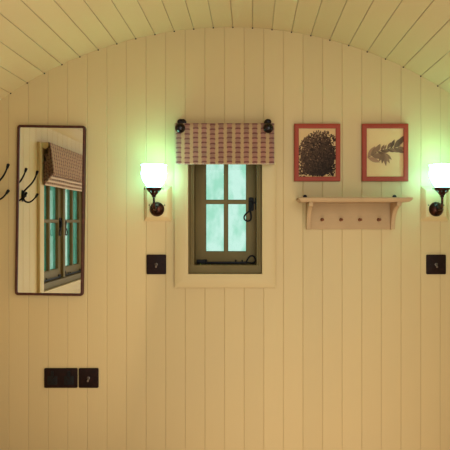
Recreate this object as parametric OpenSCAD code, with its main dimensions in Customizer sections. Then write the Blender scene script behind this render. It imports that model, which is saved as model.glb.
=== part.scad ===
// End bay of a shepherds hut: the boarded end wall with its casement window and fittings,
// the first stretch of both side walls, the barrel roof over them and the floor under them.
// X runs across the hut, +Y points out through the end wall, and Z = 0 is what the bay stands on.

/* [Bay] */
// Clear width between the side linings
bay_width = 2080; // [2000:10:2400]
// Clear depth from the open end to the end lining
bay_depth = 1600; // [1500:10:2400]
// Height of the crown of the ceiling above the floor
crown_height = 2300; // [2250:10:2500]
// Radius of the ceiling's curve
ceiling_radius = 1763; // [1600:1:2200]

/* [Wall and roof layers] */
// Thickness of the lining boards
lining_t = 14; // [9:1:20]
// Depth of the wall studs
stud_t = 72; // [50:1:120]
// Thickness of the outside cladding
cladding_t = 20; // [12:1:30]
// Thickness of the ceiling boards
ceiling_t = 12; // [9:1:20]
// Depth of the roof ribs
rib_t = 60; // [40:1:100]
// Height of the roof sheet's corrugations
sheet_t = 16; // [8:1:24]

/* [Floor and chassis] */
// Height of the chassis beams
beam_h = 120; // [80:5:200]
// Width of each chassis beam
beam_w = 75; // [50:5:120]
// Distance from the middle to each chassis beam's centre line
beam_x = 700; // [400:10:900]
// Height of the floor joists
joist_h = 100; // [75:5:150]
// Width of each floor joist
joist_w = 50; // [38:1:75]
// Number of floor joists
joist_count = 5; // [3:1:8]
// Thickness of the floor boards
deck_t = 22; // [18:1:32]
// Height of the skirting board
skirting_h = 120; // [80:5:180]
// Thickness of the skirting board
skirting_t = 15; // [10:1:20]

/* [Eaves and verge] */
// How far the roof reaches past the side cladding
eaves_reach = 70; // [50:5:120]
// How far the roof reaches past the end cladding
verge_reach = 60; // [45:5:120]
// Thickness of the eaves and verge boards
edge_board_t = 20; // [15:1:25]
// How far the eaves and verge boards hang below the roof ribs
edge_board_drop = 25; // [10:1:50]
// How far the roof sheet runs past the eaves boards
sheet_drip = 12; // [5:1:30]
// Width of each leg of the corner boards
corner_board_w = 70; // [50:5:100]
// Thickness of the corner boards
corner_board_t = 16; // [12:1:22]

/* [Windows] */
// How far the heads of the window frames lie below the ceiling's edge
window_head_drop = 160; // [150:1:200]
// Width of the jambs of the window frames
jamb_w = 24; // [20:1:40]
// Height of the head of the window frames
head_h = 26; // [20:1:40]
// Height of the sill of the window frames
sill_h = 38; // [30:1:60]
// How far the window frames stand out past the cladding
frame_proud = 12; // [5:1:30]
// Thickness of the sashes
sash_t = 40; // [30:1:50]
// Width of the sash stiles
stile_w = 48; // [35:1:60]
// Height of the sash top rail
top_rail_h = 42; // [35:1:60]
// Height of the sash bottom rail
bottom_rail_h = 58; // [45:1:75]
// Width of the glazing bars
bar_w = 20; // [14:1:26]
// Thickness of the glass
glass_t = 4; // [3:1:6]
// Play round a closed sash
sash_play = 0.3; // [0.2:0.1:0.8]
// Width of the architraves
architrave_w = 60; // [40:1:90]
// Thickness of the architraves
architrave_t = 16; // [10:1:25]

/* [End window] */
// Centre of the end window across the hut
end_window_x = -21; // [-200:1:80]
// Width of the end window's frame
end_window_w = 326; // [290:1:420]
// Height of the end window's frame
end_window_h = 594; // [520:1:640]
// Distance from the head of the end window's frame to its cross bar
end_bar_drop = 273; // [240:1:340]
// Distance from the lining to the face of the end window's sash
end_recess = 60; // [30:1:70]

/* [Side window] */
// Distance from the open end to the side window's frame
side_window_gap = 122; // [80:1:300]
// Width of the side window's frame
side_window_w = 880; // [800:1:900]
// Height of the side window's frame
side_window_h = 742; // [680:1:780]
// Distance from the head of the side window's frame to its cross bars
side_bar_drop = 360; // [300:1:420]
// Width of the post between the side window's sashes
side_post_w = 39; // [30:1:60]
// Distance from the lining to the face of the post
side_post_recess = 15; // [0:1:24]
// Distance from the lining to the face of the side window's sashes
side_recess = 30; // [25:1:50]

/* [Blinds] */
// How far the end window's blind reaches past its frame at each side
end_blind_side = 53; // [40:1:60]
// How far the side window's blind reaches past its frame at each side
side_blind_side = 31; // [20:1:60]
// How far each blind reaches above its window frame
blind_over_h = 60; // [50:1:80]
// Height of the end window's blind
end_blind_h = 172; // [140:1:260]
// Height of the side window's blind
side_blind_h = 230; // [200:1:300]
// Height of the front fold of the side window's blind, the shortest of its folds
side_front_h = 163; // [140:1:190]
// Distance from the lining to the front of the blinds
blind_front = 77; // [65:1:95]
// Distance from the end window's blind's ends to the ball brackets over it
blind_bracket_inset = 28; // [24:1:60]
// Radius of the brackets' end balls
bracket_ball_r = 22; // [12:1:24]
// How far the balls' centres hang below the brackets' arms
bracket_ball_drop = 40; // [30:1:45]
// Radius of the brackets' wall roses
bracket_rose_r = 16; // [10:1:20]
// Radius of the brackets' arms
bracket_arm_r = 5; // [4:0.5:6]

/* [Wall lamps] */
// Centre of the left lamp across the hut
left_lamp_x = -320; // [-360:1:-310]
// Distance from the right lining to the centre of the right lamp
right_lamp_gap = 133; // [110:1:145]
// Height of the middle of the lamp blocks above the floor
lamp_block_z = 1517; // [1500:1:1560]
// Width of the lamp blocks
lamp_block_w = 126; // [100:1:130]
// Height of the lamp blocks
lamp_block_h = 157; // [130:1:180]
// Thickness of the lamp blocks
lamp_block_t = 22; // [16:1:30]
// Width of the bevel round the lamp blocks
lamp_block_bevel = 19; // [10:1:25]
// Radius of the lamps' domed roses
lamp_rose_r = 32; // [28:1:36]
// Depth of the lamps' domed roses
lamp_rose_t = 25; // [20:1:30]
// How far the roses sit below the middle of the blocks
lamp_rose_drop = 25; // [10:1:32]
// Distance from the lining to the axis of the shades
lamp_reach = 105; // [98:1:130]
// Radius of the lamps' arms
lamp_arm_r = 6; // [4:0.5:7]
// Height of the gallery's rim above the rose's centre
gallery_top_h = 90; // [82:1:110]
// Radius of the gallery
gallery_r = 32; // [28:1:36]
// Height of the gallery
gallery_h = 36; // [30:1:42]
// Height of the glass shades
shade_h = 105; // [90:1:130]
// Radius of the shades' belly
shade_r = 54; // [45:1:60]
// Thickness of the shades' glass
shade_t = 3; // [2:0.5:5]
// Radius of the bulbs
bulb_r = 17; // [12:1:20]

/* [Switches and sockets] */
// Side of a single plate
plate_w = 87; // [80:1:90]
// Width of the double socket's plate
double_plate_w = 147; // [140:1:150]
// Thickness of the plates
plate_t = 6; // [4:1:9]
// Radius of the plates' corners
plate_corner_r = 5; // [2:1:8]
// Height of the light switches above the floor
switch_z = 1248; // [1150:1:1300]
// How far the switches sit outside the lamps' centres
switch_offset = 6; // [0:1:10]
// Height of the sockets above the floor
socket_z = 745; // [600:5:800]
// Centre of the double socket across the hut
socket_x = -749; // [-780:1:-740]
// Centre of the bedside switch across the hut
bedside_switch_x = -626; // [-628:1:-560]

/* [Peg shelf] */
// Centre of the shelf across the hut
shelf_x = 531; // [480:1:545]
// Height of the top of the shelf above the floor
shelf_top = 1539; // [1500:1:1560]
// Width of the shelf board
shelf_w = 476; // [460:1:490]
// Depth of the shelf board
shelf_depth = 158; // [130:1:180]
// Thickness of the shelf's boards
shelf_t = 18; // [12:1:22]
// Width of the peg rail
peg_rail_w = 388; // [360:1:400]
// Height of the peg rail
peg_rail_h = 117; // [100:1:130]
// Spacing of the pegs
peg_spacing = 83; // [60:1:88]
// Number of pegs
peg_count = 4; // [3:1:4]
// Height of the pegs above the rail's bottom edge
peg_up_h = 42; // [30:1:50]
// Length of the pegs
peg_length = 34; // [20:1:50]
// Radius of the pegs' heads
peg_r = 7; // [5:0.5:9]
// Spacing of the shelf's hanging tabs
tab_spacing = 396; // [360:1:420]

/* [Mirror] */
// Centre of the mirror across the hut
mirror_x = -791; // [-810:1:-780]
// Height of the mirror's centre above the floor
mirror_z = 1487; // [1460:1:1500]
// Width of the mirror's frame
mirror_w = 300; // [260:1:320]
// Height of the mirror's frame
mirror_h = 750; // [600:1:760]
// Face width of the mirror's frame
mirror_rim = 11; // [6:1:14]
// Depth of the mirror's frame
mirror_t = 22; // [16:1:30]
// How far the mirror hangs out of plumb, in degrees
mirror_lean = 0.84; // [0:0.01:1]

/* [Pictures] */
// Centre of the left picture across the hut
left_picture_x = 385; // [340:1:400]
// Centre of the right picture across the hut
right_picture_x = 684; // [640:1:700]
// Height of the pictures' centres above the shelf
picture_up_h = 203; // [190:1:220]
// Width of the picture frames
picture_w = 203; // [180:1:216]
// Height of the picture frames
picture_h = 253; // [220:1:270]
// Face width of the picture frames
picture_rim = 20; // [12:1:26]
// Depth of the picture frames
picture_t = 24; // [16:1:30]

/* [Coat hooks] */
// Distance from the end wall to the first coat hook
hook_first_y = 46; // [40:1:80]
// Spacing of the coat hooks
hook_spacing = 145; // [110:1:160]
// Number of coat hooks
hook_count = 3; // [2:1:3]
// Height of the hooks' plates above the floor
hook_z = 1565; // [1500:1:1600]
// How far the hooks stand out from the lining
hook_reach = 83; // [60:1:90]
// Radius of the hooks' arms
hook_arm_r = 4; // [3:0.5:5]
// Radius of the hooks' end balls
hook_ball_r = 7; // [6:0.5:9]

/* [Hidden] */

half_in = bay_width / 2;
half_stud = half_in + lining_t;
half_clad = half_stud + stud_t;
half_out = half_clad + cladding_t;
wall_t = lining_t + stud_t + cladding_t;
y_open = -(bay_depth + wall_t + verge_reach) / 2;
y_face = y_open + bay_depth;
y_stud = y_face + lining_t;
y_clad = y_stud + stud_t;
y_out = y_clad + cladding_t;
y_verge = y_out + verge_reach;
z_joist = beam_h;
z_deck = z_joist + joist_h;
z_floor = z_deck + deck_t;
curve_z = z_floor + crown_height - ceiling_radius;
// The height of a curve of radius r at a distance x from the middle
function curve_height(r, x) = curve_z + sqrt(r * r - x * x);
window_head_z = curve_height(ceiling_radius, half_in) - z_floor - window_head_drop;
end_window_z = window_head_z - end_window_h;
side_window_z = window_head_z - side_window_h;
// The side window's centre, as a distance from the end wall
side_window_y = bay_depth - side_window_gap - side_window_w / 2;
end_bar_z = window_head_z - end_bar_drop;
side_bar_z = window_head_z - side_bar_drop;
rib_r = ceiling_radius + ceiling_t;
sheet_r = rib_r + rib_t;
half_eaves = half_out + eaves_reach;
half_ribs = half_eaves - edge_board_t;
big = 6000;
// Cut made past a surface, so that no skin is left
past = 1;
curve_fn = 240;
round_fn = 48;

// Turns a flat outline drawn in X and Z into a solid from y0 to y1
module along_y(y0, y1) {
    translate([0, y1, 0]) rotate([90, 0, 0]) linear_extrude(y1 - y0) children();
}

// What lies under a curve of radius r, within half_w of the middle and above z0
module under_curve(r, half_w, z0) {
    intersection() {
        translate([0, curve_z]) circle(r, $fn = curve_fn);
        translate([-half_w, z0]) square([2 * half_w, big]);
    }
}

// What lies between two curves, within half_w of the middle
module between_curves(r_in, r_out, half_w) {
    difference() {
        under_curve(r_out, half_w, curve_z);
        translate([0, curve_z]) circle(r_in, $fn = curve_fn);
    }
}

// An upright strip from x0 to x1 above z0, cut off at the underside of the roof ribs
module wall_strip(x0, x1, z0) {
    intersection() {
        translate([0, curve_z]) circle(rib_r, $fn = curve_fn);
        translate([x0, z0]) square([x1 - x0, big]);
    }
}

// A plain bar from corner a to corner b
module block(a, b) {
    translate(a) cube(b - a);
}

// Puts what is drawn on a wall, with X along it, Y into it and Z up from the floor, in its place
module on_end_wall() {
    translate([0, y_face, z_floor]) children();
}

// On the left wall X is the distance from the end wall, counted towards it
module on_left_wall() {
    translate([-half_in, y_face, z_floor]) rotate([0, 0, 90]) children();
}

// The hole that a window frame fills, right through the wall
module window_hole(x, z, w, h) {
    block([x - w / 2, -past, z], [x + w / 2, wall_t + past, z + h]);
}

module end_window_hole() {
    on_end_wall() window_hole(end_window_x, end_window_z, end_window_w, end_window_h);
}

module side_window_hole() {
    on_left_wall() window_hole(-side_window_y, side_window_z, side_window_w, side_window_h);
}

module chassis_beams() {
    color("dimgray") for (side = [-1, 1])
        block([side * beam_x - beam_w / 2, y_open, 0], [side * beam_x + beam_w / 2, y_clad, beam_h]);
}

module floor_joists() {
    pitch = (y_clad - y_open - joist_w) / (joist_count - 1);
    color("burlywood") for (i = [0 : joist_count - 1])
        block([-half_clad, y_open + i * pitch, z_joist], [half_clad, y_open + i * pitch + joist_w, z_deck]);
}

module floor_boards() {
    color("peru") block([-half_clad, y_open, z_deck], [half_clad, y_clad, z_floor]);
}

module end_wall_frame() {
    color("burlywood") difference() {
        along_y(y_stud, y_clad) under_curve(rib_r, half_stud, z_floor);
        end_window_hole();
    }
}

module end_wall_lining() {
    color("wheat") difference() {
        along_y(y_face, y_stud) under_curve(rib_r, half_stud, z_floor);
        end_window_hole();
    }
}

module end_wall_cladding() {
    color("darkseagreen") difference() {
        along_y(y_clad, y_out) under_curve(rib_r, half_clad, z_joist);
        end_window_hole();
    }
}

module left_wall_frame() {
    color("burlywood") difference() {
        along_y(y_open, y_clad) wall_strip(-half_clad, -half_stud, z_floor);
        side_window_hole();
    }
}

module left_wall_lining() {
    color("wheat") difference() {
        along_y(y_open, y_face) wall_strip(-half_stud, -half_in, z_floor);
        side_window_hole();
    }
}

module left_wall_cladding() {
    color("darkseagreen") difference() {
        along_y(y_open, y_out) wall_strip(-half_out, -half_clad, z_joist);
        side_window_hole();
    }
}

module right_wall_frame() {
    color("burlywood") along_y(y_open, y_clad) wall_strip(half_stud, half_clad, z_floor);
}

module right_wall_lining() {
    color("wheat") along_y(y_open, y_face) wall_strip(half_in, half_stud, z_floor);
}

module right_wall_cladding() {
    color("darkseagreen") along_y(y_open, y_out) wall_strip(half_clad, half_out, z_joist);
}

module roof_ribs() {
    color("burlywood")
        along_y(y_open, y_verge - edge_board_t) between_curves(rib_r, sheet_r, half_ribs);
}

module ceiling_lining() {
    color("wheat") along_y(y_open, y_face) between_curves(ceiling_radius, rib_r, half_in);
}

module roof_sheet() {
    color("slategray")
        along_y(y_open, y_verge) between_curves(sheet_r, sheet_r + sheet_t, half_eaves + sheet_drip);
}

module eaves_boards() {
    z_low = curve_height(rib_r, half_ribs) - edge_board_drop;
    color("darkseagreen") for (side = [0, 1]) mirror([side, 0, 0])
        along_y(y_open, y_verge) intersection() {
            translate([0, curve_z]) circle(sheet_r, $fn = curve_fn);
            translate([half_ribs, z_low]) square([edge_board_t, big]);
        }
}

module verge_board() {
    color("darkseagreen") along_y(y_verge - edge_board_t, y_verge)
        between_curves(rib_r - edge_board_drop, sheet_r, half_ribs);
}

// An L-shaped board that wraps each outside corner, under the roof ribs
module corner_boards() {
    color("darkseagreen") for (side = [0, 1]) mirror([side, 0, 0]) {
        difference() {
            along_y(y_out - corner_board_w, y_out + corner_board_t)
                wall_strip(half_out - corner_board_w, half_out + corner_board_t, z_joist);
            block([0, 0, 0], [half_out, y_out, big]);
        }
    }
}

// One U-shaped run round the foot of the linings
module skirting_board() {
    color("wheat") difference() {
        block([-half_in, y_open, z_floor], [half_in, y_face, z_floor + skirting_h]);
        block([-half_in + skirting_t, y_open - past, z_floor - past],
              [half_in - skirting_t, y_face - skirting_t, z_floor + skirting_h + past]);
    }
}

// A rectangular ring, w by h outside, with borders of the given widths, from y0 to y1
module ring(w, h, sides, top, bottom, y0, y1) {
    difference() {
        block([-w / 2, y0, 0], [w / 2, y1, h]);
        block([-w / 2 + sides, y0 - past, bottom], [w / 2 - sides, y1 + past, h - top]);
    }
}

module window_frame(w, h) {
    ring(w, h, jamb_w, head_h, sill_h, 0, wall_t + frame_proud);
}

// The edges of the two rows of panes in a sash of height h, with its cross bar at bar_z
function pane_rows(h, bar_z) = [[bottom_rail_h, bar_z - bar_w / 2], [bar_z + bar_w / 2, h - top_rail_h]];

// The edges of the two columns of panes in a sash of width w
function pane_columns(w) = [[-w / 2 + stile_w, -bar_w / 2], [bar_w / 2, w / 2 - stile_w]];

// Each of the four pane openings of a sash, from y0 to y1
module pane_blocks(w, h, bar_z, y0, y1) {
    for (column = pane_columns(w), row = pane_rows(h, bar_z))
        block([column[0], y0, row[0]], [column[1], y1, row[1]]);
}

module sash(w, h, bar_z) {
    difference() {
        block([-w / 2, 0, 0], [w / 2, sash_t, h]);
        pane_blocks(w, h, bar_z, -past, sash_t + past);
    }
}

module panes(w, h, bar_z) {
    pane_blocks(w, h, bar_z, (sash_t - glass_t) / 2, (sash_t + glass_t) / 2);
}

module architrave(w, h) {
    translate([0, 0, -architrave_w])
        ring(w + 2 * architrave_w, h + 2 * architrave_w, architrave_w, architrave_w, architrave_w,
             -architrave_t, 0);
}

end_sash_w = end_window_w - 2 * jamb_w - 2 * sash_play;
end_sash_h = end_window_h - head_h - sill_h - 2 * sash_play;
end_sash_z = end_window_z + sill_h + sash_play;
side_sash_w = (side_window_w - 2 * jamb_w - side_post_w) / 2 - 2 * sash_play;
side_sash_h = side_window_h - head_h - sill_h - 2 * sash_play;
side_sash_z = side_window_z + sill_h + sash_play;
side_post_edge = side_post_w / 2 + sash_play;
side_sash_x = side_post_edge + side_sash_w / 2;

module end_window_frame() {
    color("#7a6a48") on_end_wall() translate([end_window_x, 0, end_window_z])
        window_frame(end_window_w, end_window_h);
}

module at_end_sash() {
    on_end_wall() translate([end_window_x, end_recess, end_sash_z]) children();
}

module end_window_sash() {
    color("#7a6a48") at_end_sash() sash(end_sash_w, end_sash_h, end_bar_z - end_sash_z);
}

module end_window_panes() {
    color("lightcyan") at_end_sash() panes(end_sash_w, end_sash_h, end_bar_z - end_sash_z);
}

// The side window's frame has a post in the middle, between its two sashes
module side_window_frame() {
    color("#7a6a48") on_left_wall() translate([-side_window_y, 0, side_window_z]) union() {
        window_frame(side_window_w, side_window_h);
        block([-side_post_w / 2, side_post_recess, 0],
              [side_post_w / 2, wall_t + frame_proud, side_window_h]);
    }
}

module each_side_sash() {
    on_left_wall() for (side = [-1, 1])
        translate([-side_window_y + side * side_sash_x, side_recess, side_sash_z]) children();
}

module side_window_sashes() {
    color("#7a6a48") each_side_sash() sash(side_sash_w, side_sash_h, side_bar_z - side_sash_z);
}

module side_window_panes() {
    color("lightcyan") each_side_sash() panes(side_sash_w, side_sash_h, side_bar_z - side_sash_z);
}

module window_architraves() {
    color("wheat") {
        on_end_wall() translate([end_window_x, 0, end_window_z])
            architrave(end_window_w, end_window_h);
        on_left_wall() translate([-side_window_y, 0, side_window_z])
            architrave(side_window_w, side_window_h);
    }
}

fastener_plate = [24, 4, 62];
stay_bar = [6, 9];
stay_plate = [46, 15];
stay_inset = 6;
curl_r = 14;
curl_bar_r = 3;

// A ring of round bar that lies flat against the sash
module curl() {
    rotate([90, 0, 0]) rotate_extrude($fn = round_fn) translate([curl_r, 0]) circle(curl_bar_r, $fn = 24);
}

// The catch that turns on a plate and hangs down in a curled tail, with its plate's top at the origin
module fastener() {
    bar_y = -fastener_plate[1] - curl_bar_r;
    union() {
        translate([-fastener_plate[0] / 2, -fastener_plate[1], -fastener_plate[2]]) cube(fastener_plate);
        translate([0, -fastener_plate[1] + past, -fastener_plate[2] / 3]) rotate([90, 0, 0])
            cylinder(r = fastener_plate[0] / 3, h = 2 * curl_bar_r + 2 * past, $fn = round_fn);
        translate([0, bar_y, -fastener_plate[2] - curl_r / 2])
            cylinder(r = curl_bar_r, h = fastener_plate[2] * 2 / 3 + curl_r / 2, $fn = 24);
        translate([0, bar_y, -fastener_plate[2] - curl_r * 3 / 2]) curl();
    }
}

// The pierced bar that holds a sash of width w open, lying along its bottom rail
module stay(w) {
    length = w - 2 * stay_inset;
    curl_x = length - curl_r - curl_bar_r;
    translate([-length / 2, -stay_bar[0], sash_play]) union() {
        cube([stay_plate[0], stay_bar[0], stay_plate[1]]);
        cube([curl_x, stay_bar[0], stay_bar[1]]);
        translate([curl_x, stay_bar[0] / 2, curl_r + curl_bar_r]) curl();
    }
}

// The fasteners' plates are screwed to the stiles that close, level with the cross bars
module window_catches() {
    color("#1c1a18") {
        on_end_wall()
            translate([end_window_x + (end_sash_w - stile_w) / 2, end_recess, end_bar_z + bar_w])
                fastener();
        at_end_sash() stay(end_sash_w);
        on_left_wall() for (side = [-1, 1])
            translate([-side_window_y + side * (side_post_edge + stile_w / 2), side_recess,
                       side_bar_z + bar_w]) fastener();
        each_side_sash() stay(side_sash_w);
    }
}

// The blinds, their rails and brackets are drawn with the origin at the middle of the window frame's top
blind_rail_t = 32;
blind_fold_t = 6;
blind_back = architrave_t + sash_play;

// The batten that a blind hangs from, fixed to the architrave, with a round lower edge
module blind_rail(w) {
    translate([-w / 2, -architrave_t - blind_rail_t / 2, blind_over_h - blind_rail_t / 2])
        rotate([90, 0, 90]) linear_extrude(w) union() {
            circle(blind_rail_t / 2, $fn = round_fn);
            translate([-blind_rail_t / 2, 0]) square([blind_rail_t, blind_rail_t / 2]);
        }
}

// The folds that hang from the batten, seen from the side: straight in front and level below
function straight_folds(h) = [[-blind_back, blind_over_h], [-blind_front, blind_over_h],
    [-blind_front, blind_over_h - h], [-blind_back, blind_over_h - h]];

// Folds that spread downwards in front and hang lower towards the wall, with a pocket under the batten
function spread_folds(h, front_h) = let (rail_front = -architrave_t - blind_rail_t)
    [[rail_front, blind_over_h], [rail_front - blind_fold_t, blind_over_h],
     [-blind_front, blind_over_h - front_h], [-blind_back, blind_over_h - h],
     [-blind_back, blind_over_h - front_h / 2], [rail_front, blind_over_h - front_h / 2]];

// A fabric blind, w wide, with its folds in front of the architrave by a hair's clearance
module blind(w, folds) {
    union() {
        blind_rail(w);
        translate([-w / 2, 0, 0]) rotate([90, 0, 90]) linear_extrude(w) polygon(folds);
    }
}

end_blind_w = end_window_w + 2 * end_blind_side;
side_blind_w = side_window_w + 2 * side_blind_side;

module at_end_window_top() {
    on_end_wall() translate([end_window_x, 0, end_window_z + end_window_h]) children();
}

module at_side_window_top() {
    on_left_wall() translate([-side_window_y, 0, side_window_z + side_window_h]) children();
}

module end_blind() {
    color("#b08a70") at_end_window_top() blind(end_blind_w, straight_folds(end_blind_h));
}

module side_blind() {
    color("#b08a70") at_side_window_top()
        blind(side_blind_w, spread_folds(side_blind_h, side_front_h));
}

rose_t = 6;

// A wall rose above the architrave, an arm that passes over the blind, and a ball in front of it
module blind_bracket() {
    arm_z = sash_play + max(architrave_w + bracket_rose_r, blind_over_h + bracket_arm_r);
    ball_y = -blind_front - sash_play - bracket_ball_r;
    translate([0, 0, arm_z]) union() {
        rotate([90, 0, 0]) cylinder(r = bracket_rose_r, h = rose_t, $fn = round_fn);
        rotate([90, 0, 0]) cylinder(r = bracket_arm_r, h = -ball_y, $fn = round_fn);
        translate([0, ball_y, 0]) sphere(bracket_arm_r, $fn = round_fn);
        translate([0, ball_y, -bracket_ball_drop]) {
            cylinder(r = bracket_arm_r, h = bracket_ball_drop, $fn = round_fn);
            sphere(bracket_ball_r, $fn = round_fn);
        }
    }
}

module blind_brackets() {
    color("#2a2421") at_end_window_top() for (side = [-1, 1])
        translate([side * (end_blind_w / 2 - blind_bracket_inset), 0, 0]) blind_bracket();
}

right_lamp_x = half_in - right_lamp_gap;

// Draws the same thing at both lamps, with the origin on the lining at the blocks' middle
module at_each_lamp() {
    on_end_wall() for (x = [left_lamp_x, right_lamp_x]) translate([x, 0, lamp_block_z]) children();
}

// A square block with wide bevels, as two crossed prisms share it
module lamp_block() {
    intersection() {
        translate([0, 0, -lamp_block_h / 2]) linear_extrude(lamp_block_h)
            polygon([[-lamp_block_w / 2, 0], [lamp_block_w / 2, 0],
                     [lamp_block_w / 2 - lamp_block_bevel, -lamp_block_t],
                     [-lamp_block_w / 2 + lamp_block_bevel, -lamp_block_t]]);
        translate([-lamp_block_w / 2, 0, 0]) rotate([90, 0, 90]) linear_extrude(lamp_block_w)
            polygon([[0, -lamp_block_h / 2], [0, lamp_block_h / 2],
                     [-lamp_block_t, lamp_block_h / 2 - lamp_block_bevel],
                     [-lamp_block_t, -lamp_block_h / 2 + lamp_block_bevel]]);
    }
}

module lamp_blocks() {
    color("wheat") at_each_lamp() lamp_block();
}

// A dome of the given foot radius and depth, lathed about Z
module dome(r, depth) {
    sphere_r = (r * r + depth * depth) / (2 * depth);
    rotate_extrude($fn = round_fn) intersection() {
        translate([0, depth - sphere_r]) circle(sphere_r, $fn = 96);
        square([r, depth]);
    }
}

arm_bend_r = 18;
gallery_wall = 3;
gallery_foot_lip = 2;
neck_clear = 0.3;
shade_neck_r = gallery_r - gallery_wall - neck_clear;
shade_seat = 8;
thumb_screw_r = 2;
thumb_screw_l = 9;
holder_r = 12;
bulb_stem_h = 12;

// The rose, the bent arm and the gallery that carries a shade
module lamp_fitting() {
    gallery_foot = gallery_top_h - gallery_h;
    union() {
        translate([0, -lamp_block_t, 0]) rotate([90, 0, 0]) dome(lamp_rose_r, lamp_rose_t);
        translate([0, -lamp_block_t, 0]) rotate([90, 0, 0])
            cylinder(r = lamp_arm_r, h = lamp_reach - lamp_block_t - arm_bend_r, $fn = round_fn);
        translate([0, arm_bend_r - lamp_reach, arm_bend_r]) rotate([0, 90, 0])
            rotate_extrude(angle = -90, $fn = round_fn)
                translate([arm_bend_r, 0]) circle(lamp_arm_r, $fn = 32);
        translate([0, -lamp_reach, arm_bend_r])
            cylinder(r = lamp_arm_r, h = gallery_foot - arm_bend_r + gallery_wall, $fn = round_fn);
        translate([0, -lamp_reach, gallery_foot]) rotate_extrude($fn = round_fn)
            polygon([[0, 0], [lamp_arm_r + gallery_foot_lip, 0], [gallery_r, gallery_h - shade_seat],
                     [gallery_r, gallery_h], [gallery_r - gallery_wall, gallery_h],
                     [gallery_r - gallery_wall, gallery_h - shade_seat], [holder_r, gallery_h - shade_seat],
                     [holder_r, gallery_h + shade_seat], [0, gallery_h + shade_seat]]);
        for (turn = [0 : 120 : 240])
            translate([0, -lamp_reach, gallery_top_h - shade_seat / 2]) rotate([0, 0, turn])
                translate([gallery_r - gallery_wall / 2, 0, 0]) rotate([0, 90, 0])
                    cylinder(r = thumb_screw_r, h = thumb_screw_l, $fn = 24);
    }
}

module lamp_fittings() {
    color("#33231c") at_each_lamp() translate([0, 0, -lamp_rose_drop]) lamp_fitting();
}

// The radius of a shade's glass at height z: a straight neck, then a belly that tucks in below the rim
function shade_radius(z) = let (
        t = max(0, (z - shade_neck_h) / (shade_h - shade_neck_h)),
        swell = sin(min(1, t * 1.5) * 90),
        tuck = shade_tuck * sin(max(0, t * 3 - 2) * 180))
    shade_neck_r + (shade_r - shade_neck_r) * (swell - tuck);

shade_neck_over = 2;
shade_neck_h = shade_seat + shade_neck_over;
shade_tuck = 0.18;
shade_steps = 18;

// A tulip of thin glass, open at the top, standing in the gallery
module lamp_shade() {
    outside = [for (i = [0 : shade_steps]) let (z = shade_h * i / shade_steps) [shade_radius(z), z]];
    inside = [for (i = [shade_steps : -1 : 0]) outside[i] - [shade_t, 0]];
    rotate_extrude($fn = 72) polygon(concat(outside, inside));
}

module lamp_shades() {
    color("ivory") at_each_lamp()
        translate([0, -lamp_reach, gallery_top_h - lamp_rose_drop - shade_seat]) lamp_shade();
}

module lamp_bulbs() {
    color("lightyellow") at_each_lamp()
        translate([0, -lamp_reach, gallery_top_h - lamp_rose_drop + shade_seat]) union() {
            cylinder(r = holder_r - gallery_wall, h = bulb_stem_h + bulb_r, $fn = round_fn);
            translate([0, 0, bulb_stem_h + bulb_r]) sphere(bulb_r, $fn = round_fn);
        }
}

// A plate with rounded corners, centred on the origin and standing out from the lining
module plate(w) {
    rotate([90, 0, 0]) linear_extrude(plate_t)
        offset(r = plate_corner_r, $fn = 32)
            square([w - 2 * plate_corner_r, plate_w - 2 * plate_corner_r], center = true);
}

toggle_r = 5;
toggle_tip_r = 3;
toggle_l = 12;
rocker = [12, 3, 20];

// A plate with a small round toggle in its middle
module toggle_switch() {
    union() {
        plate(plate_w);
        translate([0, -plate_t + past, 0]) rotate([90, 0, 0])
            cylinder(r1 = toggle_r, r2 = toggle_tip_r, h = toggle_l, $fn = 32);
    }
}

rocker_z = plate_w / 4;

// A double plate with a rocker over each outlet
module double_socket() {
    union() {
        plate(double_plate_w);
        for (side = [-1, 1])
            translate([side * double_plate_w / 4, past - plate_t, rocker_z])
                block([-rocker[0] / 2, -rocker[1] - past, -rocker[2] / 2], [rocker[0] / 2, 0, rocker[2] / 2]);
    }
}

module light_switches() {
    color("#241711") on_end_wall() {
        translate([left_lamp_x - switch_offset, 0, switch_z]) toggle_switch();
        translate([right_lamp_x + switch_offset, 0, switch_z]) toggle_switch();
        translate([bedside_switch_x, 0, socket_z]) toggle_switch();
    }
}

module power_sockets() {
    color("#241711") on_end_wall() translate([socket_x, 0, socket_z]) double_socket();
}

rail_t = shelf_t * 2 / 3;
tab_r = 9;
tab_t = 3;

module shelf_board() {
    color("antiquewhite") on_end_wall()
        block([shelf_x - shelf_w / 2, -shelf_depth, shelf_top - shelf_t],
              [shelf_x + shelf_w / 2, -tab_t, shelf_top]);
}

// A turned peg with a round head, standing out of the rail
module peg() {
    rotate([90, 0, 0]) {
        cylinder(r = peg_r / 2, h = peg_length, $fn = 32);
        translate([0, 0, peg_length]) sphere(peg_r, $fn = 32);
    }
}

module peg_rail() {
    color("antiquewhite") on_end_wall() {
        rail_z = shelf_top - shelf_t - peg_rail_h;
        union() {
            block([shelf_x - peg_rail_w / 2, -rail_t, rail_z],
                  [shelf_x + peg_rail_w / 2, 0, rail_z + peg_rail_h]);
            for (i = [0 : peg_count - 1]) let (x = shelf_x + (i - (peg_count - 1) / 2) * peg_spacing)
                translate([x, past - rail_t, rail_z + peg_up_h]) peg();
        }
    }
}

// The two metal tabs that stand up behind the shelf board and hang it on the wall
module shelf_hangers() {
    color("#2a1d16") on_end_wall() for (side = [-1, 1])
        translate([shelf_x + side * tab_spacing / 2, 0, shelf_top - shelf_t]) rotate([90, 0, 0])
            linear_extrude(tab_t) union() {
                translate([-tab_r, 0]) square([2 * tab_r, shelf_t + tab_r]);
                translate([0, shelf_t + tab_r]) circle(tab_r, $fn = 32);
            }
}

bracket_setback = 18;
bracket_foot = 16;
bracket_nose = 18;
bracket_steps = 16;

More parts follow.
